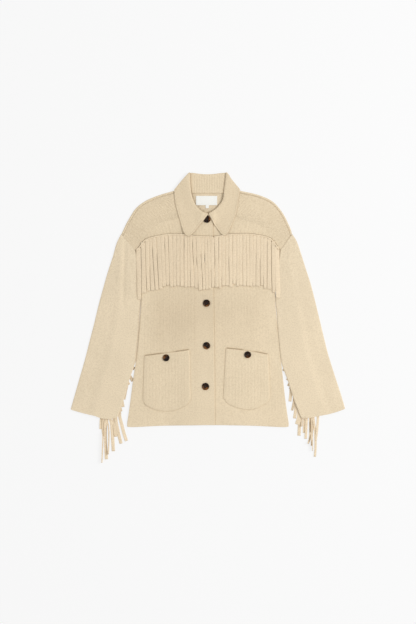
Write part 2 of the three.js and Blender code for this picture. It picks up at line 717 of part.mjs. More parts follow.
// Fringe of the yoke seam: a narrow strip below the seam and strands that hang from it
function frontFringe(side, from, to, count) {
  const seam = side < 0 ? YOKE_SEAM_LEFT : YOKE_SEAM_RIGHT;
  const onButton = (x, y) => mound(x, y, BUTTONS[1], BUTTON_THICKNESS + LAYER_GAP);
  const rest = (x, y) => standFace(x, y) + LAYER_GAP + onButton(x, y);
  const stripTop = (x) => heightAt(seam, x) - 2 * SEAM_GAP;
  const line = (drop) => (u) => {
    const x = lerp(from, to, u);
    return { x, y: stripTop(x) - drop };
  };
  const end = (x) => (v) => ({ x, y: stripTop(x) - FRINGE_STRIP * (1 - v) });
  const patch = patchOf(line(FRINGE_STRIP), line(0), end(from), end(to));
  const cells = 24;
  const us = Array.from({ length: cells + 1 }, (_, i) => i / cells);
  const stripFace = (x, y) => rest(x, y) + STRAND_THICKNESS + STRIP_FULLNESS;
  const strip = layer(patch, us, [0, 1], rest, stripFace);
  const pitch = (to - from) / count;
  const strands = Array.from({ length: count }, (_, n) => {
    const rootX = from + pitch * (n + 0.5);
    const endY = heightAt(FRINGE_ENDS, rootX) + STRAND_UNEVEN * Math.sin(2.4 * n);
    const lean = heightAt(FRINGE_ENDS, rootX, "lean");
    const rootY = stripTop(rootX) - FRINGE_STRIP / 2;
    const steps = 5;
    const points = Array.from({ length: steps + 1 }, (_, i) => {
      const t = i / steps;
      const x = rootX + lean * t * t;
      const y = lerp(rootY, endY, t);
      const z = Math.max(rest(x - STRAND_WIDTH / 2, y), rest(x + STRAND_WIDTH / 2, y));
      return { x, y, z: z + STRAND_LIFT };
    });
    return strand(points, STRAND_WIDTH, STRAND_THICKNESS);
  });
  return joined([strip, ...strands]);
}

// Fringe of a sleeve's back seam: it lies under the sleeve's inner half in two thin sheets
function sleeveFringe({ seam, strands }) {
  const [top, bottom] = seam;
  const along = new THREE.Vector2(bottom.x - top.x, bottom.y - top.y).normalize();
  const thickness = 2 * SLEEVE_STRAND_THICKNESS + LAYER_GAP;
  const stripPoints = [top, bottom].map((p) => ({ x: p.x, y: p.y, z: SLEEVE_STRAND_FLOOR }));
  const strip = strand(stripPoints, FRINGE_STRIP, thickness);
  const pieces = strands.map(({ along: share, endX, endY }, n) => {
    const root = { x: lerp(top.x, bottom.x, share), y: lerp(top.y, bottom.y, share) };
    const sheet = n % 2 === 0 ? 0 : SLEEVE_STRAND_THICKNESS + LAYER_GAP / 2;
    const z = SLEEVE_STRAND_FLOOR + SLEEVE_STRAND_LIFT + sheet;
    const steps = 4;
    const points = Array.from({ length: steps + 1 }, (_, i) => {
      const t = i / steps;
      const sideways = t * t * (1.6 - 0.6 * t);
      return { x: lerp(root.x, endX, sideways), y: lerp(root.y, endY, t), z };
    });
    return strand(points, SLEEVE_STRAND_WIDTH, SLEEVE_STRAND_THICKNESS);
  });
  return joined([strip, ...pieces]);
}

// Patch pocket with upright ribs
function pocket(shape) {
  const bottom = byLength(shape.bottom);
  const top = byLength(shape.top);
  const straight = (t) => (v) => ({
    x: lerp(bottom(t).x, top(t).x, v),
    y: lerp(bottom(t).y, top(t).y, v),
  });
  const patch = patchOf(bottom, top, straight(0), straight(1));
  const under = (x, y) => frontFace(x, y) + LAYER_GAP;
  const us = ribStations(POCKET_RIBS, POCKET_WIDTH);
  return panel(patch, us, stations(3, POCKET_LENGTH), under, ribs);
}

// Button with a rolled rim, a dished face and four holes
function button(x, y, z) {
  const profile = table("radius height", [
    [0, 0], [9.2, 0], [BUTTON_RADIUS, 1.1], [10.1, 2.4], [8.8, BUTTON_THICKNESS], [7.0, 2.1],
    [0, 1.9],
  ]);
  const turned = new THREE.LatheGeometry(
    profile.map((p) => new THREE.Vector2(p.radius, p.height)),
    BUTTON_SIDES,
  );
  turned.rotateX(Math.PI / 2);
  let solid = toSolid(turned);
  for (const [sx, sy] of [[1, 1], [1, -1], [-1, 1], [-1, -1]]) {
    const hole = new THREE.CylinderGeometry(BUTTON_HOLE_RADIUS, BUTTON_HOLE_RADIUS, 8, 6);
    hole.rotateX(Math.PI / 2);
    hole.translate(sx * BUTTON_HOLE_OFFSET, sy * BUTTON_HOLE_OFFSET, 1);
    solid = solid.subtract(toSolid(hole));
  }
  const geometry = toGeometry(solid);
  geometry.translate(x, y, z);
  return geometry;
}

function tag({ left, right, bottom, top }) {
  const box = new THREE.BoxGeometry(right - left, top - bottom, LABEL_THICKNESS);
  const z = BACK_FACE + LAYER_GAP + LABEL_THICKNESS / 2;
  box.translate((left + right) / 2, (bottom + top) / 2, z);
  return box;
}

add("back", joined([back(), shoulderRoll(-1), shoulderRoll(1)]), COLOURS.knit);
add("front_left", front(-1), COLOURS.knit);
add("front_right", front(1), COLOURS.knit);
add("placket", placket(), COLOURS.knit);
add("yoke_left", yoke(-1), COLOURS.rib);
add("yoke_right", yoke(1), COLOURS.rib);
add("collar", joined([flap(FLAP_LEFT), flap(FLAP_RIGHT), collarBand()]), COLOURS.collar);
add("sleeve_left", sleeve(SLEEVE_LEFT, -1), COLOURS.sleeve);
add("sleeve_right", sleeve(SLEEVE_RIGHT, 1), COLOURS.sleeve);
add("pocket_left", pocket(POCKET_LEFT), COLOURS.rib);
add("pocket_right", pocket(POCKET_RIGHT), COLOURS.rib);
add("fringe_front_left", frontFringe(-1, -204, 15.5, 22), COLOURS.fringe);
add("fringe_front_right", frontFringe(1, 18.6, 203, 19), COLOURS.fringe);
add("fringe_sleeve_left", sleeveFringe(SLEEVE_FRINGE_LEFT), COLOURS.fringe);
add("fringe_sleeve_right", sleeveFringe(SLEEVE_FRINGE_RIGHT), COLOURS.fringe);

BUTTONS.forEach(({ x, y }, i) => {
  const z = standFace(x, y) + LAYER_GAP + (i === 0 ? RIB_HEIGHT : 0);
  add(`button_${i + 1}`, button(x, y, z), COLOURS.button, ROUGHNESS.button);
});
for (const [name, { x, y }] of Object.entries(POCKET_BUTTONS)) {
  const z = frontFace(x, y) + WALL + RIB_HEIGHT + 2 * LAYER_GAP;
  add(`button_pocket_${name}`, button(x, y, z), COLOURS.button, ROUGHNESS.button);
}
add("label", tag(LABEL), COLOURS.label, ROUGHNESS.label);
add("size_tab", tag(SIZE_TAB), COLOURS.label, ROUGHNESS.label);

export default jacket;
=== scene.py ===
# %% [markdown]
# # A cream knitted jacket with fringe, laid flat
#
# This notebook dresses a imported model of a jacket. The model gives plain solids: panels, two
# flattened sleeves, a collar, fringe, buttons and a label. Blender adds what makes them look
# knitted: soft edges, ribs, uneven fringe, horn buttons and yarn.
#
# The steps go as a maker would lay the jacket out: the room, the yarn, the back, the fronts, the
# yokes, the collar, the sleeves, then pockets, fringe, buttons and label.

import bpy
import numpy as np
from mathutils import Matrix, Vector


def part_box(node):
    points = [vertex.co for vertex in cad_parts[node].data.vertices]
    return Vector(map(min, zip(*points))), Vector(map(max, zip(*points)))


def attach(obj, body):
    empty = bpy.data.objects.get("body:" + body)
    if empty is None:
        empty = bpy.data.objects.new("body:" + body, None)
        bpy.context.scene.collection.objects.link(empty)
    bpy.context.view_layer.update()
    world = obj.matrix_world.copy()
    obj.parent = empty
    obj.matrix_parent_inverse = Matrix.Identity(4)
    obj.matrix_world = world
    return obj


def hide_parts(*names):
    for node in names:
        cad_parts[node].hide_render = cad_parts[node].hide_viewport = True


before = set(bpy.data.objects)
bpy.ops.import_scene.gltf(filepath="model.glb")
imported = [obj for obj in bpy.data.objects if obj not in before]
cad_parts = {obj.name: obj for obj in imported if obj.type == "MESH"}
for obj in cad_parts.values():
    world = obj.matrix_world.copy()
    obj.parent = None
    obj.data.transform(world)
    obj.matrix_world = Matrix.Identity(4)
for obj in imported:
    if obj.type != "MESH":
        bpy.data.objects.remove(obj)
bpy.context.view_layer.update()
MM = 0.001                     # the tables below are in millimetres, Blender's objects in metres

# %% [markdown]
# ## The camera
#
# A jacket laid on a table is photographed from straight above, so that nothing is foreshortened.
# A camera that looks down from four metres with a long lens does the same. Its lens follows from
# the picture's height in millimetres, because Blender's sensor size belongs to the longer side.

# %% The camera
PICTURE = (416, 624)           # pixels
MM_PER_PIXEL = 2.9
PICTURE_MIDDLE = (1.2, 16.5)   # the picture's middle, in the jacket's own millimetres
CAMERA_HEIGHT = 4.0

camera = bpy.data.objects.new("camera", bpy.data.cameras.new("camera"))
bpy.context.scene.collection.objects.link(camera)
camera.location = (PICTURE_MIDDLE[0] * MM, PICTURE_MIDDLE[1] * MM, CAMERA_HEIGHT)
seen_height = PICTURE[1] * MM_PER_PIXEL * MM
camera.data.lens = camera.data.sensor_width * CAMERA_HEIGHT / seen_height
bpy.context.scene.camera = camera
print("lens", round(camera.data.lens, 1), "mm")

# %% [markdown]
# ## Light and floor
#
# Knitwear is lit softly, because a hard light turns every stitch into noise. A pale world lights
# the cloth from all round and a wide lamp on the right gives the seams and the fringe a shaded
# side. The floor glows a little by itself, as a light table does, so that the shadow round the
# jacket stays faint.

# %% Light and floor
WORLD_STRENGTH = 0.72
LAMP_POWER = 118.0
LAMP_SIZE = 2.4
LAMP_PLACE = (3.4, 0.7, 3.5)
FLOOR_GREY = 0.2
FLOOR_GLOW = 0.74
FLOOR_SIZE = 12.0

world = bpy.data.worlds.new("pale_room")
world.use_nodes = True
world.node_tree.nodes["Background"].inputs["Color"].default_value = (1.0, 1.0, 1.0, 1.0)
world.node_tree.nodes["Background"].inputs["Strength"].default_value = WORLD_STRENGTH
bpy.context.scene.world = world
bpy.context.scene.view_settings.view_transform = "Standard"

lamp = bpy.data.objects.new("lamp", bpy.data.lights.new("lamp", "AREA"))
lamp.data.shape = "DISK"
lamp.data.size = LAMP_SIZE
lamp.data.energy = LAMP_POWER
lamp.location = LAMP_PLACE
lamp.rotation_euler = lamp.location.to_track_quat("Z", "Y").to_euler()    # at the jacket's middle
bpy.context.scene.collection.objects.link(lamp)

floor_mesh = bpy.data.meshes.new("floor")
half_floor = FLOOR_SIZE / 2
floor_mesh.from_pydata(
    [(-half_floor, -half_floor, 0), (half_floor, -half_floor, 0),
     (half_floor, half_floor, 0), (-half_floor, half_floor, 0)],
    [], [(0, 1, 2, 3)],
)
floor = bpy.data.objects.new("floor", floor_mesh)
bpy.context.scene.collection.objects.link(floor)
floor_paint = bpy.data.materials.new("pale_floor")
floor_paint.use_nodes = True
floor_surface = floor_paint.node_tree.nodes["Principled BSDF"]
floor_surface.inputs["Base Color"].default_value = (FLOOR_GREY, FLOOR_GREY, FLOOR_GREY, 1.0)
floor_surface.inputs["Roughness"].default_value = 0.9
floor_surface.inputs["Specular IOR Level"].default_value = 0.0
floor_surface.inputs["Emission Color"].default_value = (1.0, 1.0, 1.0, 1.0)
floor_surface.inputs["Emission Strength"].default_value = FLOOR_GLOW
floor_mesh.materials.append(floor_paint)
print("lamp and floor are in place")

# %% [markdown]
# ## Node wiring, written short
#
# A material's nodes can be placed by hand in the Shader Editor. In a script, a small helper that
# adds a node and joins its sockets keeps each material to a few readable lines. A number that is
# given as an input is set on the socket, and a node's output is linked to it.


# %% A helper for shader nodes
class Wiring:
    """Adds nodes to a material and links them."""

    def __init__(self, name):
        self.material = bpy.data.materials.new(name)
        self.material.use_nodes = True
        self.tree = self.material.node_tree
        self.surface = self.tree.nodes["Principled BSDF"]

    def node(self, kind, settings=None, **inputs):
        made = self.tree.nodes.new(kind)
        for key, value in (settings or {}).items():
            setattr(made, key, value)
        for key, value in inputs.items():
            self.plug(value, made.inputs[int(key[1:]) if key[1:].isdigit() else key])
        return made

    def plug(self, value, socket):
        if isinstance(value, bpy.types.NodeSocket):
            self.tree.links.new(value, socket)
        else:
            socket.default_value = value

    def math(self, operation, *values):
        made = self.tree.nodes.new("ShaderNodeMath")
        made.operation = operation
        for value, socket in zip(values, made.inputs):
            self.plug(value, socket)
        return made.outputs[0]

    def mix(self, factor, first, second):
        made = self.tree.nodes.new("ShaderNodeMix")
        made.data_type = "RGBA"
        self.plug(factor, made.inputs[0])
        self.plug(first, made.inputs[6])
        self.plug(second, made.inputs[7])
        return made.outputs[2]

    def noise(self, place, scale, detail=2.0, rough=0.5):
        made = self.tree.nodes.new("ShaderNodeTexNoise")
        self.plug(place, made.inputs["Vector"])
        made.inputs["Scale"].default_value = scale
        made.inputs["Detail"].default_value = detail
        made.inputs["Roughness"].default_value = rough
        return made.outputs["Fac"]

    def fit(self, value, low, high, to_low=0.0, to_high=1.0):
        made = self.tree.nodes.new("ShaderNodeMapRange")
        made.interpolation_type = "SMOOTHSTEP"
        for socket, number in zip(made.inputs, (value, low, high, to_low, to_high)):
            self.plug(number, socket)
        return made.outputs[0]


print("shader helper ready")

# %% [markdown]
# ## The yarn
#
# Plain knitting is rows of small V-shaped loops. Modelling every loop of a jacket would take
# millions of faces, so the loops are drawn by the shader. Each point of the cloth carries its
# place on the flat knitting, in millimetres, in an attribute named knit: x counts across the
# columns of loops and y up the rows. From these the shader works out one leg of a V, raises it
# with a bump, and paints shade into the holes between loops. Two noises add the slubs and the
# tone of a mixed yarn. A second attribute carries painted shade: it is 1 at the bottom of a seam
# and darkens the yarn there as the shade would, and on a few panels it darkens the whole a little.

# %% Knitted cloth
LOOP_WIDTH = 2.3               # millimetres
LOOP_HEIGHT = 1.7
LOOP_BUMP = 0.00045            # metres


def knitted(name, colour, loop=(LOOP_WIDTH, LOOP_HEIGHT), bump=0.75, tone=0.05):
    """Cloth of V-shaped loops in one yarn."""
    w = Wiring(name)
    place = w.node("ShaderNodeAttribute", {"attribute_name": "knit"}).outputs["Vector"]
    parts = w.node("ShaderNodeSeparateXYZ", _0=place)
    column = w.math("DIVIDE", parts.outputs[0], loop[0])
    row = w.math("DIVIDE", parts.outputs[1], loop[1])
    in_column = w.math("FRACT", column)
    from_middle = w.math("ABSOLUTE", w.math("SUBTRACT", in_column, 0.5))
    leg = w.math("FRACT", w.math("MULTIPLY", column, 2.0))
    leg_round = w.math("MULTIPLY", w.math("MULTIPLY", leg, w.math("SUBTRACT", 1.0, leg)), 4.0)
    slanted = w.math("SUBTRACT", row, w.math("MULTIPLY", from_middle, 1.5))
    wave = w.math("COSINE", w.math("MULTIPLY", slanted, 2 * np.pi))
    loop_round = w.math("MULTIPLY_ADD", wave, 0.35, 0.65)
    height = w.math("MULTIPLY", leg_round, loop_round)

    spot = w.node("ShaderNodeTexCoord").outputs["Object"]
    fibre = w.noise(spot, 1500.0, 3.0, 0.7)
    slub = w.noise(spot, 260.0, 2.0)
    cloud = w.noise(spot, 9.0, 2.0)
    relief = w.math("MULTIPLY_ADD", fibre, 0.35, w.math("MULTIPLY_ADD", slub, 0.5, height))
    bumped = w.node("ShaderNodeBump", Height=relief, Strength=bump, Distance=LOOP_BUMP)
    w.plug(bumped.outputs["Normal"], w.surface.inputs["Normal"])

    dark = tuple(c * s for c, s in zip(colour, (0.66, 0.61, 0.54)))
    pale = tuple(min(1.0, c * (1 + tone)) for c in colour)
    # painted shade: the holes between loops take the dark yarn colour
    hole = w.fit(height, 0.0, 0.55, 0.38, 0.0)
    yarn = w.mix(w.fit(cloud, 0.3, 0.7), (*colour, 1.0), (*pale, 1.0))
    yarn = w.mix(w.fit(slub, 0.35, 0.75, 0.0, 0.3), yarn, (*dark, 1.0))
    yarn = w.mix(hole, yarn, (*dark, 1.0))
    # painted shade: where the shade attribute is 1, the yarn takes this dark colour
    shade_colour = tuple(c * s for c, s in zip(colour, (0.42, 0.34, 0.26)))
    shade_and_tone = w.node("ShaderNodeAttribute", {"attribute_name": "shade_and_tone"}).outputs["Fac"]
    yarn = w.mix(shade_and_tone, yarn, (*shade_colour, 1.0))
    w.plug(yarn, w.surface.inputs["Base Color"])
    w.surface.inputs["Roughness"].default_value = 0.92
    w.surface.inputs["Specular IOR Level"].default_value = 0.2
    w.surface.inputs["Sheen Weight"].default_value = 0.18
    w.surface.inputs["Sheen Roughness"].default_value = 0.5
    w.surface.inputs["Sheen Tint"].default_value = (1.0, 0.96, 0.9, 1.0)
    return w.material


YARN = (0.845, 0.71, 0.51)
YARN_SLEEVE = (0.85, 0.72, 0.525)
YARN_FRINGE = (0.88, 0.733, 0.532)
body_knit = knitted("body_knit", YARN)
rib_knit = knitted("rib_knit", YARN)
collar_knit = knitted("collar_knit", YARN, bump=0.65)
sleeve_knit = knitted("sleeve_jersey", YARN_SLEEVE, loop=(1.9, 1.5), bump=0.65)
fringe_knit = knitted("fringe_knit", YARN_FRINGE, loop=(1.8, 1.5), bump=0.7)
print("yarns:", [m.name for m in bpy.data.materials])

# %% [markdown]
# ## Horn buttons and woven tape
#
# Horn and its copies are dark and mottled, with amber where light comes through near the rim.
# A noise sorts the surface into dark and amber, and the attribute knit, which on a button holds
# the place across its face, brings the amber out along one side as a painted glow of that
# light. A clear coat gives the polish.
# The label is a tight, flat weave: two waves across each other make its fine grid, and the threads
# that dip under are painted darker, as shade.

# %% Horn and tape


def horn(name):
    """Dark mottled horn, with amber and a painted glow along the side where its knit y is low."""
    w = Wiring(name)
    place = w.node("ShaderNodeAttribute", {"attribute_name": "knit"}).outputs["Vector"]
    parts = w.node("ShaderNodeSeparateXYZ", _0=place)
    patches = w.noise(place, 1.7, 3.0, 0.55)
    low = w.math("MULTIPLY_ADD", parts.outputs[1], -0.22, patches)
    # painted glow: amber where the patches are high, more along one side of the button
    amber = w.fit(low, 0.5, 0.8)
    dark = (0.008, 0.004, 0.003, 1.0)
    brown = w.mix(w.fit(patches, 0.42, 0.66), dark, (0.035, 0.014, 0.006, 1.0))
    w.plug(w.mix(amber, brown, (0.20, 0.078, 0.018, 1.0)), w.surface.inputs["Base Color"])
    w.surface.inputs["Roughness"].default_value = 0.35
    w.surface.inputs["Specular IOR Level"].default_value = 0.12
    w.surface.inputs["Coat Weight"].default_value = 0.06
    w.surface.inputs["Coat Roughness"].default_value = 0.08
    return w.material


def woven(name, colour, pitch=0.45):
    """Tape of fine threads, over and under."""
    w = Wiring(name)
    place = w.node("ShaderNodeAttribute", {"attribute_name": "knit"}).outputs["Vector"]
    parts = w.node("ShaderNodeSeparateXYZ", _0=place)
    waves = [w.math("SINE", w.math("MULTIPLY", parts.outputs[k], 2 * np.pi / pitch))
             for k in (0, 1)]
    weave = w.math("MULTIPLY", *waves)
    bumped = w.node("ShaderNodeBump", Height=weave, Strength=0.4, Distance=0.0001)
    w.plug(bumped.outputs["Normal"], w.surface.inputs["Normal"])
    # painted shade: the threads that dip under are darker
    shade = tuple(c * 0.88 for c in colour)
    w.plug(w.mix(w.fit(weave, -1.0, 0.6), (*shade, 1.0), (*colour, 1.0)),
           w.surface.inputs["Base Color"])
    w.surface.inputs["Roughness"].default_value = 0.75
    return w.material


def thread(name, colour):
    """Sewing thread, plied and slightly glossy."""
    w = Wiring(name)
    spot = w.node("ShaderNodeTexCoord").outputs["Object"]
    strands = w.noise(spot, 2500.0, 2.0)
    shade = tuple(c * 0.6 for c in colour)
    w.plug(w.mix(strands, (*shade, 1.0), (*colour, 1.0)), w.surface.inputs["Base Color"])
    w.surface.inputs["Roughness"].default_value = 0.6
    return w.material


horn_button = horn("horn_button")
label_tape = woven("label_tape", (0.90, 0.895, 0.845))
button_thread = thread("button_thread", (0.022, 0.012, 0.008))
label_thread = thread("label_thread", (0.90, 0.88, 0.83))
print("hard and woven finishes ready")

# %% [markdown]
# ## Lines from a few points
#
# A pattern cutter draws a panel's outline through a few measured points with a flexible curve.
# Here each outline is a short list of points, and a cubic runs smoothly through them. A point
# that is named as a corner stays sharp. The line is then read by its length, from 0 to 1.

# %% Lines


def columns(names, rows):
    """A table: a line of column names and rows of numbers in that order."""
    return dict(zip(names.split(), np.array(rows, float).T))


def smooth_run(points, steps=16):
    """A cubic through points, with slopes taken from the neighbours on both sides."""
    p = np.asarray(points, float)
    if len(p) < 3:
        return p
    knots = np.concatenate([[0], np.cumsum(np.linalg.norm(np.diff(p, axis=0), axis=1) ** 0.5)])
    slopes = np.gradient(p, knots, axis=0)
    s = np.linspace(0, 1, steps, endpoint=False)[:, None]
    runs = []
    for i, gap in enumerate(np.diff(knots)):
        runs.append((2 * s**3 - 3 * s**2 + 1) * p[i] + (s**3 - 2 * s**2 + s) * gap * slopes[i]
                    + (3 * s**2 - 2 * s**3) * p[i + 1] + (s**3 - s**2) * gap * slopes[i + 1])
    return np.concatenate([*runs, p[-1:]])


def line(points, corners=()):
    """A line through points, read by its length from 0 to 1."""
    stops = [0, *corners, len(points) - 1]
    runs = [smooth_run(points[a:b + 1]) for a, b in zip(stops, stops[1:])]
    fine = np.concatenate([runs[0], *[run[1:] for run in runs[1:]]])
    reach = np.concatenate([[0], np.cumsum(np.linalg.norm(np.diff(fine, axis=0), axis=1))])

    def at(t):
        return np.stack([np.interp(t, reach / reach[-1], fine[:, k]) for k in (0, 1)], axis=-1)

    at.length = reach[-1]
    return at


def beside(points, distance):
    """Points moved to the right-hand side of the way they run."""
    p = np.asarray(points, float)
    way = np.gradient(p, axis=0)
    way /= np.linalg.norm(way, axis=1)[:, None]
    return p + distance * np.column_stack([way[:, 1], -way[:, 0]])


def step_between(x, low, high):
    """0 below low, 1 above high, and a smooth step between."""
    t = np.clip((x - low) / (high - low), 0, 1)
    return t * t * (3 - 2 * t)


print("line helpers ready")

# %% [markdown]
# ## From a flat patch to a shell of cloth
#
# A panel has four edges. Blending opposite edges fills the patch between them with a grid, and
# each grid point gets an upper and a lower height. Real cloth has no sharp edge, so near an edge
# the two heights run together in a quarter circle. The grid is finer there, where the form
# turns quickly, and coarse in the middle. The rows of such a grid could come from Blender's Grid
# Fill too, but a formula keeps the knitting's columns straight.

# %% Patches and shells
RIM = np.array([0, 0.3, 0.8, 1.5, 2.5])    # distances of the first rows from an edge


def stations(length, pitch, rim=RIM, fine=()):
    """Shares of a length: close together at both ends and in the stretches listed in fine."""
    count = max(2, round((length - 2 * rim[-1]) / pitch))
    places = np.linspace(rim[-1], length - rim[-1], count + 1)[1:-1]
    for low, high, close in fine:
        places = places[(places < low - 0.5 * close) | (places > high + 0.5 * close)]
        places = np.concatenate([places, np.arange(low, high + 0.01, close)])
    return np.concatenate([rim, np.sort(places), length - rim[::-1]]) / length


def patch(bottom, top, left, right, us, vs):
    """The grid between four lines: bottom and top run to the right, left and right run up."""
    u, v = us[None, :, None], vs[:, None, None]
    corners = ((1 - u) * (1 - v) * bottom(0.0) + u * (1 - v) * bottom(1.0)
               + (1 - u) * v * top(0.0) + u * v * top(1.0))
    return ((1 - v) * bottom(us)[None] + v * top(us)[None]
            + (1 - u) * left(vs)[:, None] + u * right(vs)[:, None] - corners)


def distance_to(grid, points):
    """Distance of each grid point from a line of points."""
    flat = grid.reshape(-1, 2)
    a, b = points[:-1], points[1:]
    way = b - a
    size = np.maximum((way ** 2).sum(1), 1e-12)
    best = np.full(len(flat), np.inf)
    for start, direction, length in zip(a, way, size):
        t = np.clip(((flat - start) @ direction) / length, 0, 1)
        best = np.minimum(best, ((flat - start - t[:, None] * direction) ** 2).sum(1))
    return np.sqrt(best).reshape(grid.shape[:2])


def seam_shade(grid, points, width, amount):
    """Shade that gathers along a seam: full on the line, gone a few widths away."""
    return amount * np.exp(-(distance_to(grid, np.asarray(points, float)) / width) ** 2)


def roundness(grid, radii):
    """1 on the flat of a panel, near 0 at its edges, for radii of bottom, right, top and left."""
    edges = (grid[0], grid[:, -1], grid[-1], grid[:, 0])
    near = sum(np.clip(1 - distance_to(grid, edge) / radius, 0, 1) ** 2
               for edge, radius in zip(edges, radii) if radius > 0)
    return np.sqrt(1 - np.minimum(near, 0.96))


def to_object(name, vertices, faces, knit, shade_and_tone):
    """A smooth mesh object from millimetres, with the knitting's place and shade at each point."""
    mesh = bpy.data.meshes.new(name)
    mesh.from_pydata((np.asarray(vertices) * MM).tolist(), [], np.asarray(faces).tolist())
    mesh.shade_smooth()
    places = mesh.attributes.new("knit", "FLOAT_VECTOR", "POINT")
    places.data.foreach_set("vector", np.asarray(knit, np.float32).ravel())
    depth = mesh.attributes.new("shade_and_tone", "FLOAT", "POINT")
    depth.data.foreach_set("value", np.asarray(shade_and_tone, np.float32).ravel())
    made = bpy.data.objects.new(name, mesh)
    bpy.context.scene.collection.objects.link(made)
    return made


def shell(name, grid, upper, lower, knit=None, shade_and_tone=None):
    """A closed sheet over a grid, between a lower and an upper height."""
    rows, cols = grid.shape[:2]
    at = np.arange(rows * cols).reshape(rows, cols)
    quads = np.stack([at[:-1, :-1], at[:-1, 1:], at[1:, 1:], at[1:, :-1]], -1).reshape(-1, 4)
    ring = np.concatenate([at[0], at[1:, -1], at[-1, -2::-1], at[-2:0:-1, 0]])
    after = np.roll(ring, -1)
    under = rows * cols
    sides = np.stack([ring + under, after + under, after, ring], -1)
    faces = np.concatenate([quads, quads[:, ::-1] + under, sides])
    flat = grid.reshape(-1, 2)
    vertices = np.concatenate([np.column_stack([flat, upper.ravel()]),
                               np.column_stack([flat, lower.ravel()])])
    if knit is None:
        knit = grid
    flat_knit = np.column_stack([knit.reshape(-1, 2), np.zeros(len(flat))])
    depth = np.zeros(len(flat)) if shade_and_tone is None else shade_and_tone.ravel()
    return to_object(name, vertices, faces, np.concatenate([flat_knit, flat_knit]),
                     np.concatenate([depth, depth]))


def dress(piece, nodes, material):
    """A piece rides on the jacket, stands for its solids and takes its finish."""
    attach(piece, "root")
    if nodes:
        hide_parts(*nodes)
    piece.data.materials.append(material)
    return piece


print("shell helpers ready")

# %% [markdown]
# ## How the layers lie
#
# A jacket that lies flat is a stack: back, fronts, the left front's button stand over the right
# front, collar over yokes. Each panel's height follows from what is under it, so the stack is
# written as small functions of the place. The front is never dead flat: two broad swells lift it
# off the back, and a few shallow creases run where the cloth was smoothed out.

# %% The stack of layers
WALL = 2.4                     # thickness of a knitted panel
GAP = 0.3                      # air between two layers
SWELL = 1.3                    # height of the two broad swells
HEM_Y = -317
YOKE_SEAM_Y = 236
HALF_BODY = 200
PLACKET_LEFT = -35
PLACKET_TOP_RIGHT = 16
PLACKET_HEM_RIGHT = 21
RAMP = 84                      # width that the left front takes to climb onto the stand
RAMP_REST = 8                  # and how far before the stand the climb is over
BUTTONS = np.array([[-2, 285], [-3, 164], [-3, 42], [-3, -81], [-6, -199]], float)
POCKET_BUTTONS = {"left": (-120, -116), "right": (116, -107)}
BUTTON_RADIUS = 10.5
BUTTON_THICKNESS = 2.8

CREASES = columns("x0 y0 x1 y1 width height", [
    [-176, 40, -150, -60, 34, 0.5],
    [-96, 30, -118, -80, 30, -0.45],
    [-70, -290, -58, -120, 22, 0.5],
    [60, 20, 96, -70, 36, 0.45],
    [150, 60, 172, -90, 30, -0.5],
    [100, -300, 84, -262, 30, 0.4],
    [188, -150, 200, -280, 22, 0.4],
    [-205, -160, -214, -290, 20, 0.4],
    [-150, 300, -110, 262, 26, 0.4],
    [120, 268, 168, 300, 26, 0.4],
])


def creases(x, y, table):
    """Soft ridges and troughs along short lines, fading out at both ends."""
    total = np.zeros_like(np.asarray(x, float))
    for x0, y0, x1, y1, width, height in zip(*table.values()):
        way = np.array([x1 - x0, y1 - y0])
        t = ((x - x0) * way[0] + (y - y0) * way[1]) / (way @ way)
        off = ((x - x0) * way[1] - (y - y0) * way[0]) / np.linalg.norm(way)
        fade = step_between(t, -0.15, 0.3) * (1 - step_between(t, 0.7, 1.15))
        total += height * fade * np.exp(-(off / width * 2) ** 2)
    return total


def swell(x, y):
    """How far the front is lifted by its broad swells and creases."""
    across = np.sin(np.pi * np.clip(np.abs(x) / HALF_BODY, 0, 1))
    along = step_between(y, HEM_Y, -200) * (1 - step_between(y, 180, 290))
    return SWELL * across * along + creases(x, y, CREASES)


def overlap(x):
    """How far the left front has climbed, a whole layer at the button stand."""
    return (WALL + GAP) * step_between(x, PLACKET_LEFT - RAMP, PLACKET_LEFT - RAMP_REST)


def front_face(x, y):
    """Height of a front's face where it lies on the back alone."""
    return WALL + GAP + swell(x, y) + WALL


def placket_right(y):
    """x of the button stand's free edge."""
    t = step_between(y, HEM_Y, YOKE_SEAM_Y)
    return PLACKET_HEM_RIGHT + (PLACKET_TOP_RIGHT - PLACKET_HEM_RIGHT) * t


def stand_face(x, y):
    """Height of the face along the button stand and beside it."""
    on_stand = 1 - step_between(x - placket_right(y), 0.2, 2.2)
    return front_face(x, y) + overlap(x) * on_stand


def mound(x, y, button, height, top, foot):
    """The bump of cloth over a button: level within top, gone at foot."""
    distance = np.hypot(x - button[0], y - button[1])
    return height * (1 - step_between(distance, top, foot))


def ribs(across, pitch, height):
    """Upright ribs: rounded crests and valleys."""
    return height * (0.5 + 0.5 * np.cos(2 * np.pi * across / pitch))


print("the stack is", round(float(stand_face(0, 0)), 1), "mm high at the button stand")

# %% [markdown]
# ## The back
#
# The back is one panel, from the hem to the neck. It shows inside the neck and as a narrow strip
# along both shoulders, where it rolls over to the front. A roll like this could be sculpted; here
# the panel's height simply rises within about six millimetres of the shoulder line.

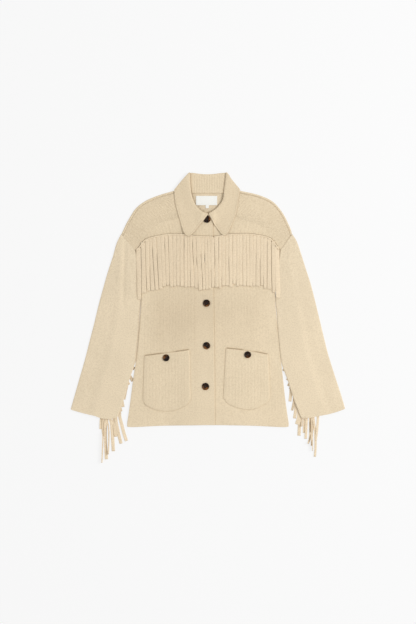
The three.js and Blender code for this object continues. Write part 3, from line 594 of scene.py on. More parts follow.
# %% The back
BODY = columns("y left right", [
    [-315.4, -232.6, 234.6], [-308, -233, 235.2], [-273, -228, 230], [-228, -222, 224],
    [-181, -216, 219], [-126, -208, 213], [-82, -203, 208], [-7, -197, 201], [60, -193, 196],
    [124, -200, 203], [195, -209, 211], [220, -230, 229], [243, -250, 245],
    [257, -243, 241], [272, -236, 234], [293, -224, 224], [317, -208, 208],
    [338, -181, 187], [355, -141, 150], [368, -97, 95],
])
SLEEVE_LEAVES = 5              # rows of BODY: where the sleeve swings away from the side,
YOKE_CORNER = 10               # the corner of the yoke
SHOULDER_POINT = 12            # and the outer end of the shoulder
HEM = np.array([[-232.6, -315.4], [-226, -316.8], [-129, -313], [0, -311], [129, -313],
                [228, -316.8], [234.6, -315.4]], float)
SHOULDER_ROLL = 6.4            # width of the back that shows along the shoulder
ROLL_HEIGHT = 2.5
WIDE_RIM = np.array([0, 0.4, 1.0, 2.0, 3.5, 5.5, 8.0, 11.0, 14.0])
BODY_RIB_PITCH = 9.0
BODY_RIB = 0.13

COLLAR_ROLL = {
    "left": [[2.7, 300], [-2, 303], [-9, 305.2], [-19.7, 311.6], [-31.7, 323.6], [-39.7, 338.3],
             [-45.7, 356.9], [-48.4, 376.9], [-50.4, 399.5], [-51, 420.4]],
    "right": [[2.9, 300], [6, 304.2], [11, 307], [20.2, 312.9], [29.6, 322.3], [38.9, 334.3],
              [44.2, 346.3], [46.2, 360.9], [47.5, 374.2], [50.2, 394.2], [52.6, 421]],
}


def body_edge(side, first=0, last=None):
    """The body's outline on one side, from one row of BODY up to another."""
    key = "left" if side < 0 else "right"
    return np.column_stack([BODY[key], BODY["y"]])[first:last]


def shoulder_line(side, inset):
    """The shoulder's outline, moved inwards."""
    outline = body_edge(side, SHOULDER_POINT)
    fine = smooth_run(outline)
    way = np.gradient(fine, axis=0)
    way /= np.linalg.norm(way, axis=1)[:, None]
    return fine + inset * np.column_stack([-side * np.abs(way[:, 1]), -np.abs(way[:, 0])])


def make_back():
    us = stations(400, 7, WIDE_RIM, fine=[(106, 294, 1.7)])
    vs = stations(690, 7, fine=[(612, 686, 1.8)])
    corners = (YOKE_CORNER, SHOULDER_POINT)
    grid = patch(line(HEM), line([[-97, 368], [95, 368]]), line(body_edge(-1), corners),
                 line(body_edge(1), corners), us, vs)
    x, y = grid[..., 0], grid[..., 1]
    edge = roundness(grid, (1.6, 1.8, 1.2, 1.8))
    roll = np.zeros_like(x)
    for side in (-1, 1):
        inward = distance_to(grid, shoulder_line(side, 0))
        up = np.sqrt(1 - np.clip(1 - inward / 3, 0, 0.98) ** 2)
        here = step_between(y, 234, 240) * (side * x > 0)
        roll += here * up * (1 - step_between(inward, SHOULDER_ROLL - 0.6, SHOULDER_ROLL + 0.6))
    upper = WALL * (0.5 + 0.5 * edge) + ROLL_HEIGHT * roll
    lower = WALL * (0.5 - 0.5 * edge) * (edge < 0.99)
    # painted shade beside the collar's fold and along the shoulder seams; the whole back is a
    # little darker too
    shade_and_tone = np.maximum(seam_shade(grid, COLLAR_ROLL["left"], 2.0, 0.6),
                        seam_shade(grid, COLLAR_ROLL["right"], 2.0, 0.24)) + 0.04
    for side in (-1, 1):
        inner = shoulder_line(side, SHOULDER_ROLL + 0.2)
        shade_and_tone = np.maximum(shade_and_tone, seam_shade(grid, inner, 1.3, 0.12 if side < 0 else 0.34))
    made = shell("back_panel", grid, upper, lower, shade_and_tone=shade_and_tone)
    return dress(made, ["back"], body_knit), grid


back_panel, back_grid = make_back()
print("back:", len(back_panel.data.polygons), "faces")

# %% [markdown]
# ## The fronts and the button stand
#
# Each front is a thin panel on the back. The left front climbs onto the right one along the
# button stand, so its height gains one layer there. Very low ribs, under a quarter of a
# millimetre, run down the cloth. The pocket mouths gape a little, so the fronts dip behind them.

# %% Fronts and stand
SEAM_GAP = 0.4
YOKE_SEAM_GAP = 0.8
YOKE_SEAM_LEFT = np.array([[-209, 195], [-199, 206], [-189, 220], [-178, 229], [-164, 234],
                           [-141, 239], [-115, 243], [-68, 243], [-35, 238], [16, 236]], float)
YOKE_SEAM_RIGHT = np.array([[-35, 236], [16, 236], [67, 243], [114, 244], [152, 240],
                            [182, 231], [197, 215], [211, 195]], float)
POCKET_TOP = {
    "left": np.array([[-184, -111], [-138, -105], [-92, -99], [-52, -93]], float),
    "right": np.array([[52, -89], [83, -92], [114, -96], [145, -101], [176, -107]], float),
}
POCKET_BOTTOM = {
    "left": np.array([[-188, -238], [-182, -251], [-167, -261], [-149, -268], [-123, -271],
                      [-94, -268], [-65, -255], [-54, -246], [-48, -235]], float),
    "right": np.array([[45, -232], [54, -245], [71, -256], [97, -264], [123, -266], [142, -262],
                       [160, -253], [175, -243], [181, -232]], float),
}
FRINGE_ENDS = columns("x y", [
    [-204, 50], [-192.3, 50], [-192.2, 69], [-176.6, 69], [-176.5, 79], [-152.5, 79],
    [-141, 83], [-120, 88], [-90, 91], [-50, 89], [-27, 86], [-14, 82], [21, 85], [50, 89],
    [92, 93], [162, 93], [172, 83], [186, 83], [186.5, 72], [196.6, 72], [197, 57], [211, 57]])
MOUTH_DIP = 1.2
UNDER_FRINGE = 0.4             # shade of the cloth that the fringe covers
TONE_Y = 10                    # the fronts are a little darker round this height
TONE_REACH = 105


def mouth(share):
    """How far a pocket's mouth gapes: nothing at the corners and little at the button."""
    gaping = (1 - step_between(share, 0.36, 0.46) + 0.85 * step_between(share, 0.62, 0.74))
    inside = step_between(share, 0.0, 0.04) * (1 - step_between(share, 0.96, 1.0))
    return inside * (0.25 + 0.75 * gaping)


def mouth_dip(grid):
    """The shallow trough in a front just above a pocket's opening."""
    total = np.zeros(grid.shape[:2])
    for top in POCKET_TOP.values():
        above = top + np.array([0, 0.9])
        share = (grid[..., 0] - top[0, 0]) / (top[-1, 0] - top[0, 0])
        total += np.exp(-(distance_to(grid, smooth_run(above)) / 1.7) ** 2) * mouth(share)
    return total


def fringe_shade(x, y):
    """Shade on what the yoke's fringe covers."""
    fringe_end = np.interp(x, FRINGE_ENDS["x"], FRINGE_ENDS["y"])
    return UNDER_FRINGE * step_between(y - fringe_end, 4, 11)


def middle_tone(y):
    """1 half-way up the fronts, fading towards hem and yoke."""
    return np.exp(-((y - TONE_Y) / TONE_REACH) ** 2)


def front_shade_and_tone(grid, side, dip):
    """Painted shade on a front: pocket mouths and seams, fringe, body side and stand; a darker
    middle.
    """
    x, y = grid[..., 0], grid[..., 1]
    name = "left" if side < 0 else "right"
    # painted shade in the pocket mouths
    shade_and_tone = 0.75 * dip
    bottom = smooth_run(POCKET_BOTTOM[name])
    outline = np.concatenate([POCKET_TOP[name][:1], bottom, POCKET_TOP[name][-1:]])
    lit_side = outline[outline[:, 0] > outline[:, 0].mean()]
    shade_and_tone = np.maximum(shade_and_tone, seam_shade(grid, outline, 1.5, 0.06))
    # painted shade along the pocket's sides that face the lamp, where the relief throws none
    shade_and_tone = np.maximum(shade_and_tone, seam_shade(grid, lit_side, 1.3, 0.26))
    shade_and_tone = np.maximum(shade_and_tone, fringe_shade(x, y))
    # painted shade beside the sleeve, stronger on the left, and beside the stand's edge
    on_side = body_edge(side, SLEEVE_LEAVES, YOKE_CORNER + 1)
    shade_and_tone = np.maximum(shade_and_tone, seam_shade(grid, on_side, 2.6, 0.5 if side < 0 else 0.14))
    if side > 0:
        off_stand = x - placket_right(y) - 0.8
        shade_and_tone = np.maximum(shade_and_tone, 0.34 * np.exp(-(off_stand / 1.4) ** 2))
    # painted shade: the left front, away from the lamp, is darker than the right; both darken a
    # little half-way up
    tone = (0.19 if side < 0 else 0.09) * middle_tone(y)
    tone *= step_between(HALF_BODY - np.abs(x), 5, 70)
    return np.clip(shade_and_tone + tone, 0, 1)


def make_front(side):
    centre = PLACKET_LEFT + side * SEAM_GAP / 2
    seam_points = YOKE_SEAM_RIGHT
    if side < 0:               # under its fringe this front slants from body side to stand
        seam_points = YOKE_SEAM_LEFT[YOKE_SEAM_LEFT[:, 0] >= PLACKET_LEFT]
    seam = beside(seam_points, YOKE_SEAM_GAP)
    seam[-1 if side < 0 else 0, 0] = centre
    outline = body_edge(side, 0, YOKE_CORNER + 1).copy()
    outline[-1] = seam[0 if side < 0 else -1]
    inner = seam[-1 if side < 0 else 0]
    hem_y = np.interp(centre, HEM[:, 0], HEM[:, 1])
    keep = HEM[:, 0] < centre if side < 0 else HEM[:, 0] > centre
    corner = np.array([[centre, hem_y]])
    hem = np.concatenate([HEM[keep], corner] if side < 0 else [corner, HEM[keep]])
    middle = line([[centre, hem_y], inner])
    sides = (line(outline), middle) if side < 0 else (middle, line(outline))
    width = abs(hem[-1, 0] - hem[0, 0])
    us = stations(width, 1.5)
    vs = stations(550, 6, fine=[(34, 92, 2.0), (172, 236, 1.0)])
    grid = patch(line(hem), line(seam), *sides, us, vs)
    x, y = grid[..., 0], grid[..., 1]
    radii = (2.0, 0, 1.2, 2.4) if side < 0 else (2.0, 2.4, 1.2, 0.3)
    edge = roundness(grid, radii)
    dip = mouth_dip(grid)
    base = front_face(x, y) + (overlap(x) if side < 0 else 0) - WALL - MOUTH_DIP * dip
    relief = ribs(x, BODY_RIB_PITCH, BODY_RIB) * edge
    upper = base + WALL * (0.5 + 0.5 * edge) + relief
    lower = base + WALL * (0.5 - 0.5 * edge)
    name = "left" if side < 0 else "right"
    made = shell(f"{name}_front_panel", grid, upper, lower, shade_and_tone=front_shade_and_tone(grid, side, dip))
    return dress(made, [f"front_{name}"], body_knit), grid


def make_placket():
    left = PLACKET_LEFT - 0.1
    seam_y = float(np.interp(left, YOKE_SEAM_LEFT[:, 0], YOKE_SEAM_LEFT[:, 1])) - SEAM_GAP
    hem_x = [left, 0, PLACKET_HEM_RIGHT]
    hem = np.column_stack([hem_x, np.interp(hem_x, HEM[:, 0], HEM[:, 1])])
    top = line([[left, seam_y], [PLACKET_TOP_RIGHT, YOKE_SEAM_Y - SEAM_GAP]])
    ys = np.linspace(hem[-1, 1], YOKE_SEAM_Y - SEAM_GAP, 12)
    right = line(np.column_stack([placket_right(ys), ys]))
    grid = patch(line(hem), top, line([hem[0], [left, seam_y]]), right,
                 stations(56, 1.3), stations(550, 5))
    x, y = grid[..., 0], grid[..., 1]
    edge = roundness(grid, (2.0, 1.8, 1.0, 0))
    base = front_face(x, y) + GAP
    held = sum(np.exp(-(np.hypot(x - bx, y - by) / 15) ** 2) for bx, by in BUTTONS[2:])
    upper = base + WALL * (0.5 + 0.5 * edge) - 0.5 * held
    lower = base + WALL * (0.5 - 0.5 * edge) - 0.5 * held
    # painted shade under the fringe, and a little darker half-way up
    shade_and_tone = np.maximum(fringe_shade(x, y), 0.15 * middle_tone(y))
    made = shell("button_stand", grid, upper, lower, shade_and_tone=shade_and_tone)
    return dress(made, ["placket"], body_knit), grid


left_front, left_front_grid = make_front(-1)
right_front, right_front_grid = make_front(1)
button_stand, stand_grid = make_placket()
print("fronts:", len(left_front.data.polygons) + len(right_front.data.polygons), "faces")

# %% [markdown]
# ## The yokes
#
# The yokes are knitted with wide ribs that run from the shoulder seam down to the fringe, so the
# grid's columns follow them and the ribs are real relief, under half a millimetre high. Where
# the left yoke lies over the right one, the lower ribs are pressed flat.

# %% The yokes
NECK_LEFT = np.array([[-68, 350], [-50, 330], [-31, 313], [-8, 303], [16, 299]], float)
NECK_RIGHT = np.array([[66, 348], [50, 330], [34, 313], [12, 303], [-35, 299]], float)
YOKE_RIBS = 26
YOKE_RIB = 0.4
YOKE_SIZE = (230, 120)
ARMHOLE_START = 7.6            # from the shoulder point to the yoke's corner, along the armhole
ARMHOLE_REACH = 0.4            # the yoke's edge runs on to the sleeve that it is sewn to


def make_yoke(side):
    seam_points = YOKE_SEAM_LEFT if side < 0 else YOKE_SEAM_RIGHT
    neck = NECK_LEFT if side < 0 else NECK_RIGHT
    shoulder = shoulder_line(side, SHOULDER_ROLL + SEAM_GAP)
    corner = seam_points[0 if side < 0 else -1]
    outer = body_edge(side)[SHOULDER_POINT]
    on_armhole = outer + (corner - outer) * ARMHOLE_START / np.linalg.norm(corner - outer)
    shoulder = np.concatenate([[on_armhole], shoulder])
    foot = seam_points[-1 if side < 0 else 0]
    centre_points = np.concatenate([[foot], neck[::-1], shoulder[-1:]])
    centre = line(centre_points, corners=(1, len(centre_points) - 2))
    meet = np.array([side * ARMHOLE_REACH, 0])
    armhole = line([corner + meet, shoulder[0] + meet])
    if side < 0:
        edges = (line(seam_points), line(shoulder), armhole, centre)
    else:
        edges = (line(seam_points), line(shoulder[::-1]), centre, armhole)
    us, vs = stations(YOKE_SIZE[0], 1.5), stations(YOKE_SIZE[1], 3)
    grid = patch(*edges, us, vs)
    x, y = grid[..., 0], grid[..., 1]
    edge = roundness(grid, (1.4, 1.4, 1.4, 0.3) if side < 0 else (1.4, 0.8, 1.4, 1.4))
    base = front_face(x, y) - WALL + (overlap(x) if side < 0 else 0)
    across = np.broadcast_to(us[None, :] * YOKE_SIZE[0], x.shape)
    up = np.broadcast_to(vs[:, None] * YOKE_SIZE[1], x.shape)
    pressed = step_between(x, 8, 40) if side > 0 else 1.0
    relief = ribs(across, YOKE_SIZE[0] / YOKE_RIBS, YOKE_RIB) * edge * pressed
    upper = base + WALL * (0.5 + 0.5 * edge) + relief
    lower = base + WALL * (0.5 - 0.5 * edge)
    name = "left" if side < 0 else "right"
    # painted shade along the shoulder, armhole and fringe seams, beside the left yoke's edge, and
    # over the whole yoke, more on the left, away from the lamp
    shade_and_tone = np.maximum(seam_shade(grid, shoulder, 1.2, 0.12 if side < 0 else 0.34),
                        seam_shade(grid, [corner, shoulder[0]], 1.3, 0.08 if side < 0 else 0.32))
    shade_and_tone = np.maximum(shade_and_tone, seam_shade(grid, smooth_run(seam_points), 0.9, 0.08))
    shade_and_tone = shade_and_tone + (0.09 if side < 0 else 0.05)
    if side > 0:
        beside_left = PLACKET_TOP_RIGHT + 0.8
        edge_of_left = [[beside_left, YOKE_SEAM_Y], [beside_left, NECK_LEFT[-1, 1]]]
        shade_and_tone = np.maximum(shade_and_tone, seam_shade(grid, edge_of_left, 1.4, 0.36))
    made = shell(f"{name}_yoke_panel", grid, upper, lower, np.stack([across, up], -1), shade_and_tone)
    return dress(made, [f"yoke_{name}"], rib_knit), grid


left_yoke, left_yoke_grid = make_yoke(-1)
right_yoke, right_yoke_grid = make_yoke(1)
print("yokes:", len(left_yoke.data.polygons) + len(right_yoke.data.polygons), "faces")

# %% [markdown]
# ## The collar
#
# A shirt collar has a stand round the neck and a fall that folds over it. Here the fall comes
# over both shoulders to the front, and between the two halves the ribbed inner side of the
# stand shows. The fold is thick and round, the free edges are thin, and a narrow turned edge
# stands out along them. Each half is one shell between its fold and its free edges.

# %% The collar
FLAPS = {
    "left": {
        "roll": COLLAR_ROLL["left"],
        "lead": [[-55, 235.8], [-50.4, 237], [-43.7, 242.4], [-29, 259.7], [-11.8, 281],
                 [2.7, 300]],
        "outer": [[-55, 235.8], [-60.5, 236.6], [-67.7, 243.7], [-78.3, 274.4], [-85, 298.3],
                  [-91.6, 322], [-95, 345], [-97, 370]],
        "top": [[-97, 370], [-91.6, 377], [-77, 395], [-59.7, 414.2], [-55, 419], [-51, 420.4]],
    },
    "right": {
        "roll": COLLAR_ROLL["right"],
        "lead": [[48.5, 236.6], [41.5, 240.4], [28.2, 257.3], [18, 272.4], [12.2, 284],
                 [2.9, 300]],
        "outer": [[48.5, 236.6], [56.1, 240.6], [66.8, 259.8], [77.5, 285], [82.8, 301],
                  [86.5, 321], [89.8, 341], [94, 372]],
        "top": [[94, 372], [78.8, 390], [68, 403.5], [61.5, 414.5], [57, 419.6], [52.6, 421]],
    },
}
COLLAR_LAYER = 2.2
COLLAR_LIFT = 0.9              # how far the fall stands off the yoke
COLLAR_FULLNESS = 1.7
TURNED_EDGE = 4.4              # width of the edge that stands out along lead and outer edge
FRINGE_STRIP_HEIGHT = 2.7
COLLAR_RIBS = 17
COLLAR_RIB = 0.36


def collar_rest(x, y):
    """Height of what the fall lies on."""
    on_stand = overlap(x) * (1 - step_between(x, 15, 25))
    on_button = mound(x, y, BUTTONS[0], BUTTON_THICKNESS + 2 * GAP, 13, 38)
    on_fringe = FRINGE_STRIP_HEIGHT * (1 - step_between(y, YOKE_SEAM_Y + 10, YOKE_SEAM_Y + 34))
    return front_face(x, y) + COLLAR_LIFT + on_stand + np.maximum(on_button, on_fringe)


def make_fall(name):
    """One half of the fall, from its fold to its free edges."""
    shape = {key: np.array(points, float) for key, points in FLAPS[name].items()}
    us, vs = stations(52, 1.4), stations(175, 1.8)
    if name == "left":
        edges = [line(shape[key]) for key in ("lead", "top", "outer", "roll")]
    else:
        edges = [line(shape["lead"][::-1]), line(shape["top"][::-1]), line(shape["roll"]),
                 line(shape["outer"])]
    grid = patch(*edges, us, vs)
    x, y = grid[..., 0], grid[..., 1]
    to_roll = distance_to(grid, smooth_run(shape["roll"]))
    to_lead = distance_to(grid, smooth_run(shape["lead"]))
    to_free = np.minimum(to_lead, distance_to(grid, smooth_run(shape["outer"])))
    free = roundness(grid, (1.6, 1.6 if name == "right" else 0, 3.0,
                            1.6 if name == "left" else 0))
    fold = np.sqrt(1 - np.clip(1 - to_roll / 5.0, 0, 0.985) ** 2)
    sink = 0.4 * (1 - step_between(to_free, 0, 5))
    sink += 0.5 * (1 - step_between(to_lead, 0, 16)) * step_between(x, 16, 22)
    rest = collar_rest(x, y) - sink
    full = COLLAR_FULLNESS * (1 - step_between(to_roll, 4, 34)) * step_between(to_free, 0, 30)
    turned = 0.4 * (1 - step_between(to_free, TURNED_EDGE - 1.6, TURNED_EDGE + 0.2))
    thick = COLLAR_LAYER * (1 - 0.45 * (1 - step_between(to_lead, 0, 16))) + full
    behind = step_between(y, 366, 376)
    floor_gap = np.where(behind > 0, rest * (1 - behind) + 0.4 * behind, rest)
    inside = (1 - step_between(to_roll, 1.0, 4.5)) * step_between(y, 312, 330)
    lower = floor_gap * (1 - inside) + np.minimum(floor_gap, WALL + 3.0) * inside
    top = rest + thick + turned
    middle = rest + 0.5 * thick
    upper = middle + (top - middle) * free
    upper = rest + (upper - rest) * (0.25 + 0.75 * fold)
    lower = lower + (1 - free) * 0.4 * thick
    knit = np.stack([y * 0.97 - x * 0.25, x * 0.97 + y * 0.25], -1)
    turn = to_free - TURNED_EDGE
    # painted shade: the flap a little darker than its turned edge, darker along the turned edge's
    # seam, a dark rim along the edge that faces the lamp, round the tips and along the fold
    shade_and_tone = 0.09 * step_between(to_free, 2.6, 3.8) + 0.2 * np.exp(-(turn / 0.9) ** 2)
    lit = smooth_run(shape["lead" if name == "left" else "outer"])
    rim = 0.6 * np.exp(-(distance_to(grid, lit) / 1.1) ** 2)
    tip_shade = 0.5 * (1 - step_between(y, 241, 251)) * np.exp(-(to_free / 1.3) ** 2)
    shade_and_tone += np.maximum(rim, tip_shade)
    shade_and_tone += (0.4 if name == "left" else 0.28) * np.exp(-(to_roll / 1.1) ** 2)
    made = shell(f"collar_fall_{name}", grid, upper, np.minimum(lower, upper - 0.3), knit,
                 shade_and_tone)
    return dress(made, ["collar"], collar_knit), grid


def make_band():
    """The ribbed inner side of the stand, behind the neck."""
    left = line([[-62, 360.5], [-64, 369], [-60, 392], [-53, 419.4]])
    right = line([[62, 360.5], [66, 369], [63, 392], [56, 420.4]])
    top = line([[-53, 419.4], [-43.7, 419.6], [-27.7, 417.5], [-6.4, 415.7], [14.8, 416.3],
                [34.8, 418.6], [56, 420.4]])
    us, vs = stations(122, 1.0), stations(54, 2.5)
    grid = patch(line([[-62, 360.5], [62, 360.5]]), top, left, right, us, vs)
    x, y = grid[..., 0], grid[..., 1]
    edge = roundness(grid, (1.0, 0, 2.4, 0))
    relief = ribs(x, 124 / COLLAR_RIBS, COLLAR_RIB) * edge
    base = WALL + GAP
    upper = base + COLLAR_LAYER * (0.4 + 0.6 * edge) + relief
    bottom = np.where(y > 370, 0.3, base)
    lower = bottom + COLLAR_LAYER * (1 - edge) * 0.4
    # painted shade beside the collar's fold and along the neck seam; all of it a little darker too
    shade_and_tone = np.maximum(seam_shade(grid, COLLAR_ROLL["left"], 2.0, 0.6),
                        seam_shade(grid, COLLAR_ROLL["right"], 2.0, 0.24)) + 0.04
    shade_and_tone = np.maximum(shade_and_tone, seam_shade(grid, [[-62, 360.5], [62, 360.5]], 1.2, 0.14))
    made = shell("collar_stand", grid, upper, lower, shade_and_tone=shade_and_tone)
    return dress(made, ["collar"], rib_knit), grid


fall_left, fall_left_grid = make_fall("left")
fall_right, fall_right_grid = make_fall("right")
stand_band, band_grid = make_band()
print("collar:", sum(len(p.data.polygons) for p in (fall_left, fall_right, stand_band)), "faces")

# %% [markdown]
# ## The sleeves
#
# A sleeve that lies flat is a tube pressed together: two walls with a thin air gap, open at the
# cuff, round along both folds. The ring of points runs over the upper wall and back along the
# lower one, once outside and once inside. The fringe under the inner half lifts the sleeve, and
# long soft creases run down from the armhole.

# %% The sleeves
SLEEVE_LENGTH = 540            # rounded, for the grid's steps and the knitting's columns
SLEEVE_WIDTH = 138
SLEEVE_WALL = 1.9
SLEEVE_AIR = 0.4
SLEEVE_FULLNESS = 1.0
SLEEVE_HEAD = 1.4              # the sleeve swells to the yoke's height at the armhole
SLEEVES = {
    "left": columns("outerX outerY innerX innerY lift", [
        [-250.1, 242.9, -209.1, 194.9, 0], [-263, 217, -204.6, 167, 0],
        [-274, 179, -200.6, 130, 0], [-289, 133, -196.3, 90, 0], [-300, 95, -193.2, 54, 0.4],
        [-315, 40, -196.3, 10, 2.5], [-329, -18, -199.8, -44, 2.5],
        [-344, -76, -204.6, -96, 2.5], [-352, -108, -207.2, -122, 2.5],
        [-359, -134, -213.2, -141, 2.5],
        [-370, -172, -228, -185, 2.5], [-383, -218, -242, -235, 2.5],
        [-397, -267, -260, -288, 2.5]]),
    "right": columns("outerX outerY innerX innerY lift", [
        [245.1, 242.9, 211.1, 194.9, 0], [258, 222, 207.4, 167, 0], [270, 188, 203.8, 130, 0],
        [285, 141, 199.3, 90, 0], [298, 101, 196.3, 54, 0.4], [313, 43, 200.2, 10, 2.5],
        [327, -15, 204.0, -44, 2.5], [341, -73, 209.2, -96, 2.5], [350, -108, 212.6, -124, 2.5],
        [358, -134, 217.0, -141, 2.5],
        [370, -172, 233, -185, 2.5], [385, -218, 249, -235, 2.5], [399, -265, 270, -290, 2.5]]),
}
CUFFS = {
    "left": columns("share bow", [[0, -2.6], [0.025, -0.2], [0.26, 4.1], [0.53, 6.7],
                                  [0.65, 10.8], [0.83, 9.9], [0.95, 3.4], [0.98, 0.8], [1, -2]]),
    "right": columns("share bow", [[0, -2.6], [0.025, -0.2], [0.2, 3.4], [0.39, 5.2], [0.6, 4.7],
                                   [0.8, 5.2], [0.94, 2.2], [0.98, 0.4], [1, -2]]),
}
SLEEVE_CREASES = {
    "left": columns("x0 y0 x1 y1 width height", [
        [-238, 240, -246, 30, 12, -1.5], [-250, 232, -262, 40, 20, 1.1],
        [-226, 170, -222, 60, 20, 0.5], [-300, -20, -318, -150, 36, 0.6],
        [-262, -110, -285, -230, 40, -0.5], [-350, -190, -366, -262, 26, 0.5]]),
    "right": columns("x0 y0 x1 y1 width height", [
        [236, 224, 240, 90, 18, 0.6], [258, 160, 278, 20, 30, -0.6],
        [300, 20, 322, -120, 34, 0.6], [270, -90, 292, -230, 38, -0.5],
        [352, -170, 372, -258, 28, 0.5]]),
}


def make_sleeve(name):
    """A flattened tube, with the mean length of its two folds and its mean width."""
    rows = SLEEVES[name]
    side = -1 if name == "left" else 1
    outer = line(np.column_stack([rows["outerX"], rows["outerY"]]))
    inner = line(np.column_stack([rows["innerX"], rows["innerY"]]))
    row_share = np.linspace(0, 1, len(rows["lift"]))
    vs = stations(SLEEVE_LENGTH, 5)
    us = stations(SLEEVE_WIDTH, 2.2)
    half = SLEEVE_WALL + SLEEVE_AIR / 2
    a, b = outer(vs), inner(vs)
    width = np.linalg.norm(b - a, axis=1)[:, None]
    way = (b - a) / width
    down = np.column_stack([way[:, 1], -way[:, 0]]) * -side
    cuff = step_between(vs, 0.6, 1.0)[:, None]
    lift = np.interp(vs, row_share, rows["lift"])[:, None]
    rings = []
    for inset in (0.0, SLEEVE_WALL):
        reach = inset + us[None, :] * (width - 2 * inset)
        share = reach / width
        bow = np.interp(share, CUFFS[name]["share"], CUFFS[name]["bow"]) * cuff
        xy = a[:, None] + way[:, None] * reach[..., None] + down[:, None] * bow[..., None]
        edge = np.minimum(us, 1 - us)[None, :] * width
        radius = 1.6 + 1.6 * step_between(vs, 0.0, 0.06)[:, None]
        fold = np.sqrt(1 - np.clip(1 - edge / radius, 0, 0.985) ** 2)
        rise = (half - inset) * fold
        raised = lift * step_between(share, 0.3, 0.5)
        soft = creases(xy[..., 0], xy[..., 1], SLEEVE_CREASES[name]) * fold
        full = SLEEVE_FULLNESS * np.sin(np.pi * share) * step_between(vs, 0.0, 0.2)[:, None]
        full = full + SLEEVE_HEAD * (1 - step_between(vs, 0.0, 0.2))[:, None]
        top = half + rise + raised + soft + full
        under = half - rise + raised
        ring_xy = np.concatenate([xy, xy[:, ::-1]], axis=1)
        ring_z = np.concatenate([top, under[:, ::-1]], axis=1)
        rings.append(np.concatenate([ring_xy, ring_z[..., None]], axis=-1))
        if inset == 0.0:
            # painted shade in the groove between the sleeve's inner fold and the body, stronger on
            # the left, and along the armhole seam
            groove_shade = (0.5 if side < 0 else 0.14) * np.exp(-((1 - share) * width / 2.6) ** 2)
            groove_shade *= step_between(xy[..., 1], -150, -110)
            if side < 0:
                groove_shade *= 1 - 0.8 * step_between(xy[..., 1], 44, 56)
            from_armhole = vs[:, None] * SLEEVE_LENGTH
            armhole = (0.08 if side < 0 else 0.32) * np.exp(-(from_armhole / 1.3) ** 2)
            shade = np.maximum(groove_shade, armhole)
            shade = np.concatenate([shade, shade[:, ::-1]], axis=1)
    steps, around = rings[0].shape[:2]
    count = steps * around
    at = np.arange(count).reshape(steps, around)
    after = np.roll(at, -1, axis=1)
    outside = np.stack([at[:-1], at[1:], after[1:], after[:-1]], -1).reshape(-1, 4)
    lining = outside[:, ::-1] + count
    ends = [np.stack([at[0], after[0], after[0] + count, at[0] + count], -1),
            np.stack([at[-1], at[-1] + count, after[-1] + count, after[-1]], -1)]
    faces = np.concatenate([outside, lining, *ends])
    if side > 0:
        faces = faces[:, ::-1]
    across = np.concatenate([us, us[::-1] + 1]) * SLEEVE_WIDTH
    knit = np.stack(np.broadcast_arrays(across[None, :], -vs[:, None] * SLEEVE_LENGTH, 0.0), -1)
    made = to_object(f"{name}_sleeve_tube", np.concatenate([r.reshape(-1, 3) for r in rings]),
                     faces, np.concatenate([knit.reshape(-1, 3)] * 2),
                     np.concatenate([shade.ravel()] * 2))
    dress(made, [f"sleeve_{name}"], sleeve_knit)
    return made, float(outer.length + inner.length) / 2, float(width.mean())


left_sleeve, left_sleeve_length, left_sleeve_width = make_sleeve("left")
right_sleeve, right_sleeve_length, right_sleeve_width = make_sleeve("right")
print("sleeves:", len(left_sleeve.data.polygons) * 2, "faces")

# %% [markdown]
# ## The pockets
#
# The patch pockets have upright ribs and a rounded point at the bottom. They are sewn on along
# the sides and the bottom, and a button holds the mouth in the middle, so on both sides of it
# the edge stands off a little. The same function that dipped the front gives the gape here.

# %% The pockets
POCKET_SIZE = (138, 160)
POCKET_RIBS = 15
POCKET_RIB = 0.2
GAPE = 1.3
SEWN_DOWN = 1.7                # how far the seam presses the sides and the bottom down


def make_pocket(name):
    bottom = line(POCKET_BOTTOM[name])
    top = line(POCKET_TOP[name])
    sides = [line([bottom(t), top(t)]) for t in (0.0, 1.0)]
    us, vs = stations(POCKET_SIZE[0], 1.2), stations(POCKET_SIZE[1], 4)
    grid = patch(bottom, top, *sides, us, vs)
    x, y = grid[..., 0], grid[..., 1]
    edge = roundness(grid, (1.6, 1.6, 1.5, 1.6))
    pressed = SEWN_DOWN * (1 - roundness(grid, (9.0, 7.0, 0, 12.0)))
    share = (x - POCKET_TOP[name][0, 0]) / np.ptp(POCKET_TOP[name][:, 0])
    open_up = GAPE * mouth(share) * step_between(vs, 0.9, 1.0)[:, None]
    bx, by = POCKET_BUTTONS[name]
    held = 0.5 * np.exp(-(np.hypot(x - bx, y - by) / 14) ** 2)
    base = front_face(x, y) + (overlap(x) if name == "left" else 0) + GAP + open_up - held
    relief = ribs(x, POCKET_SIZE[0] / POCKET_RIBS, POCKET_RIB) * edge
    upper = base + WALL * (0.5 + 0.5 * edge) + relief - pressed
    lower = np.minimum(base + WALL * (0.5 - 0.5 * edge), upper - 0.4)
    # painted shade: the left pocket, away from the lamp, is a little darker
    tone = np.full_like(x, 0.03 if name == "left" else 0.0)
    made = shell(f"{name}_patch_pocket", grid, upper, lower, shade_and_tone=tone)
    return dress(made, [f"pocket_{name}"], rib_knit), grid


left_pocket, left_pocket_grid = make_pocket("left")
right_pocket, right_pocket_grid = make_pocket("right")
print("pockets:", len(left_pocket.data.polygons) * 2, "faces")

# %% [markdown]
# ## Fringe strands
#
# The fringe is cut knitting: flat strips a centimetre wide with soft rounded sides and a
# straight cut end. A strand is a rounded section carried along its path. At each step the
# section can tilt, as when one strand lies on the next, or turn, as in a strand that fell on its
# edge. Hair particles would be quicker, but they give round hairs, not flat strips.

# %% One strand
SECTION_SIDES = 12


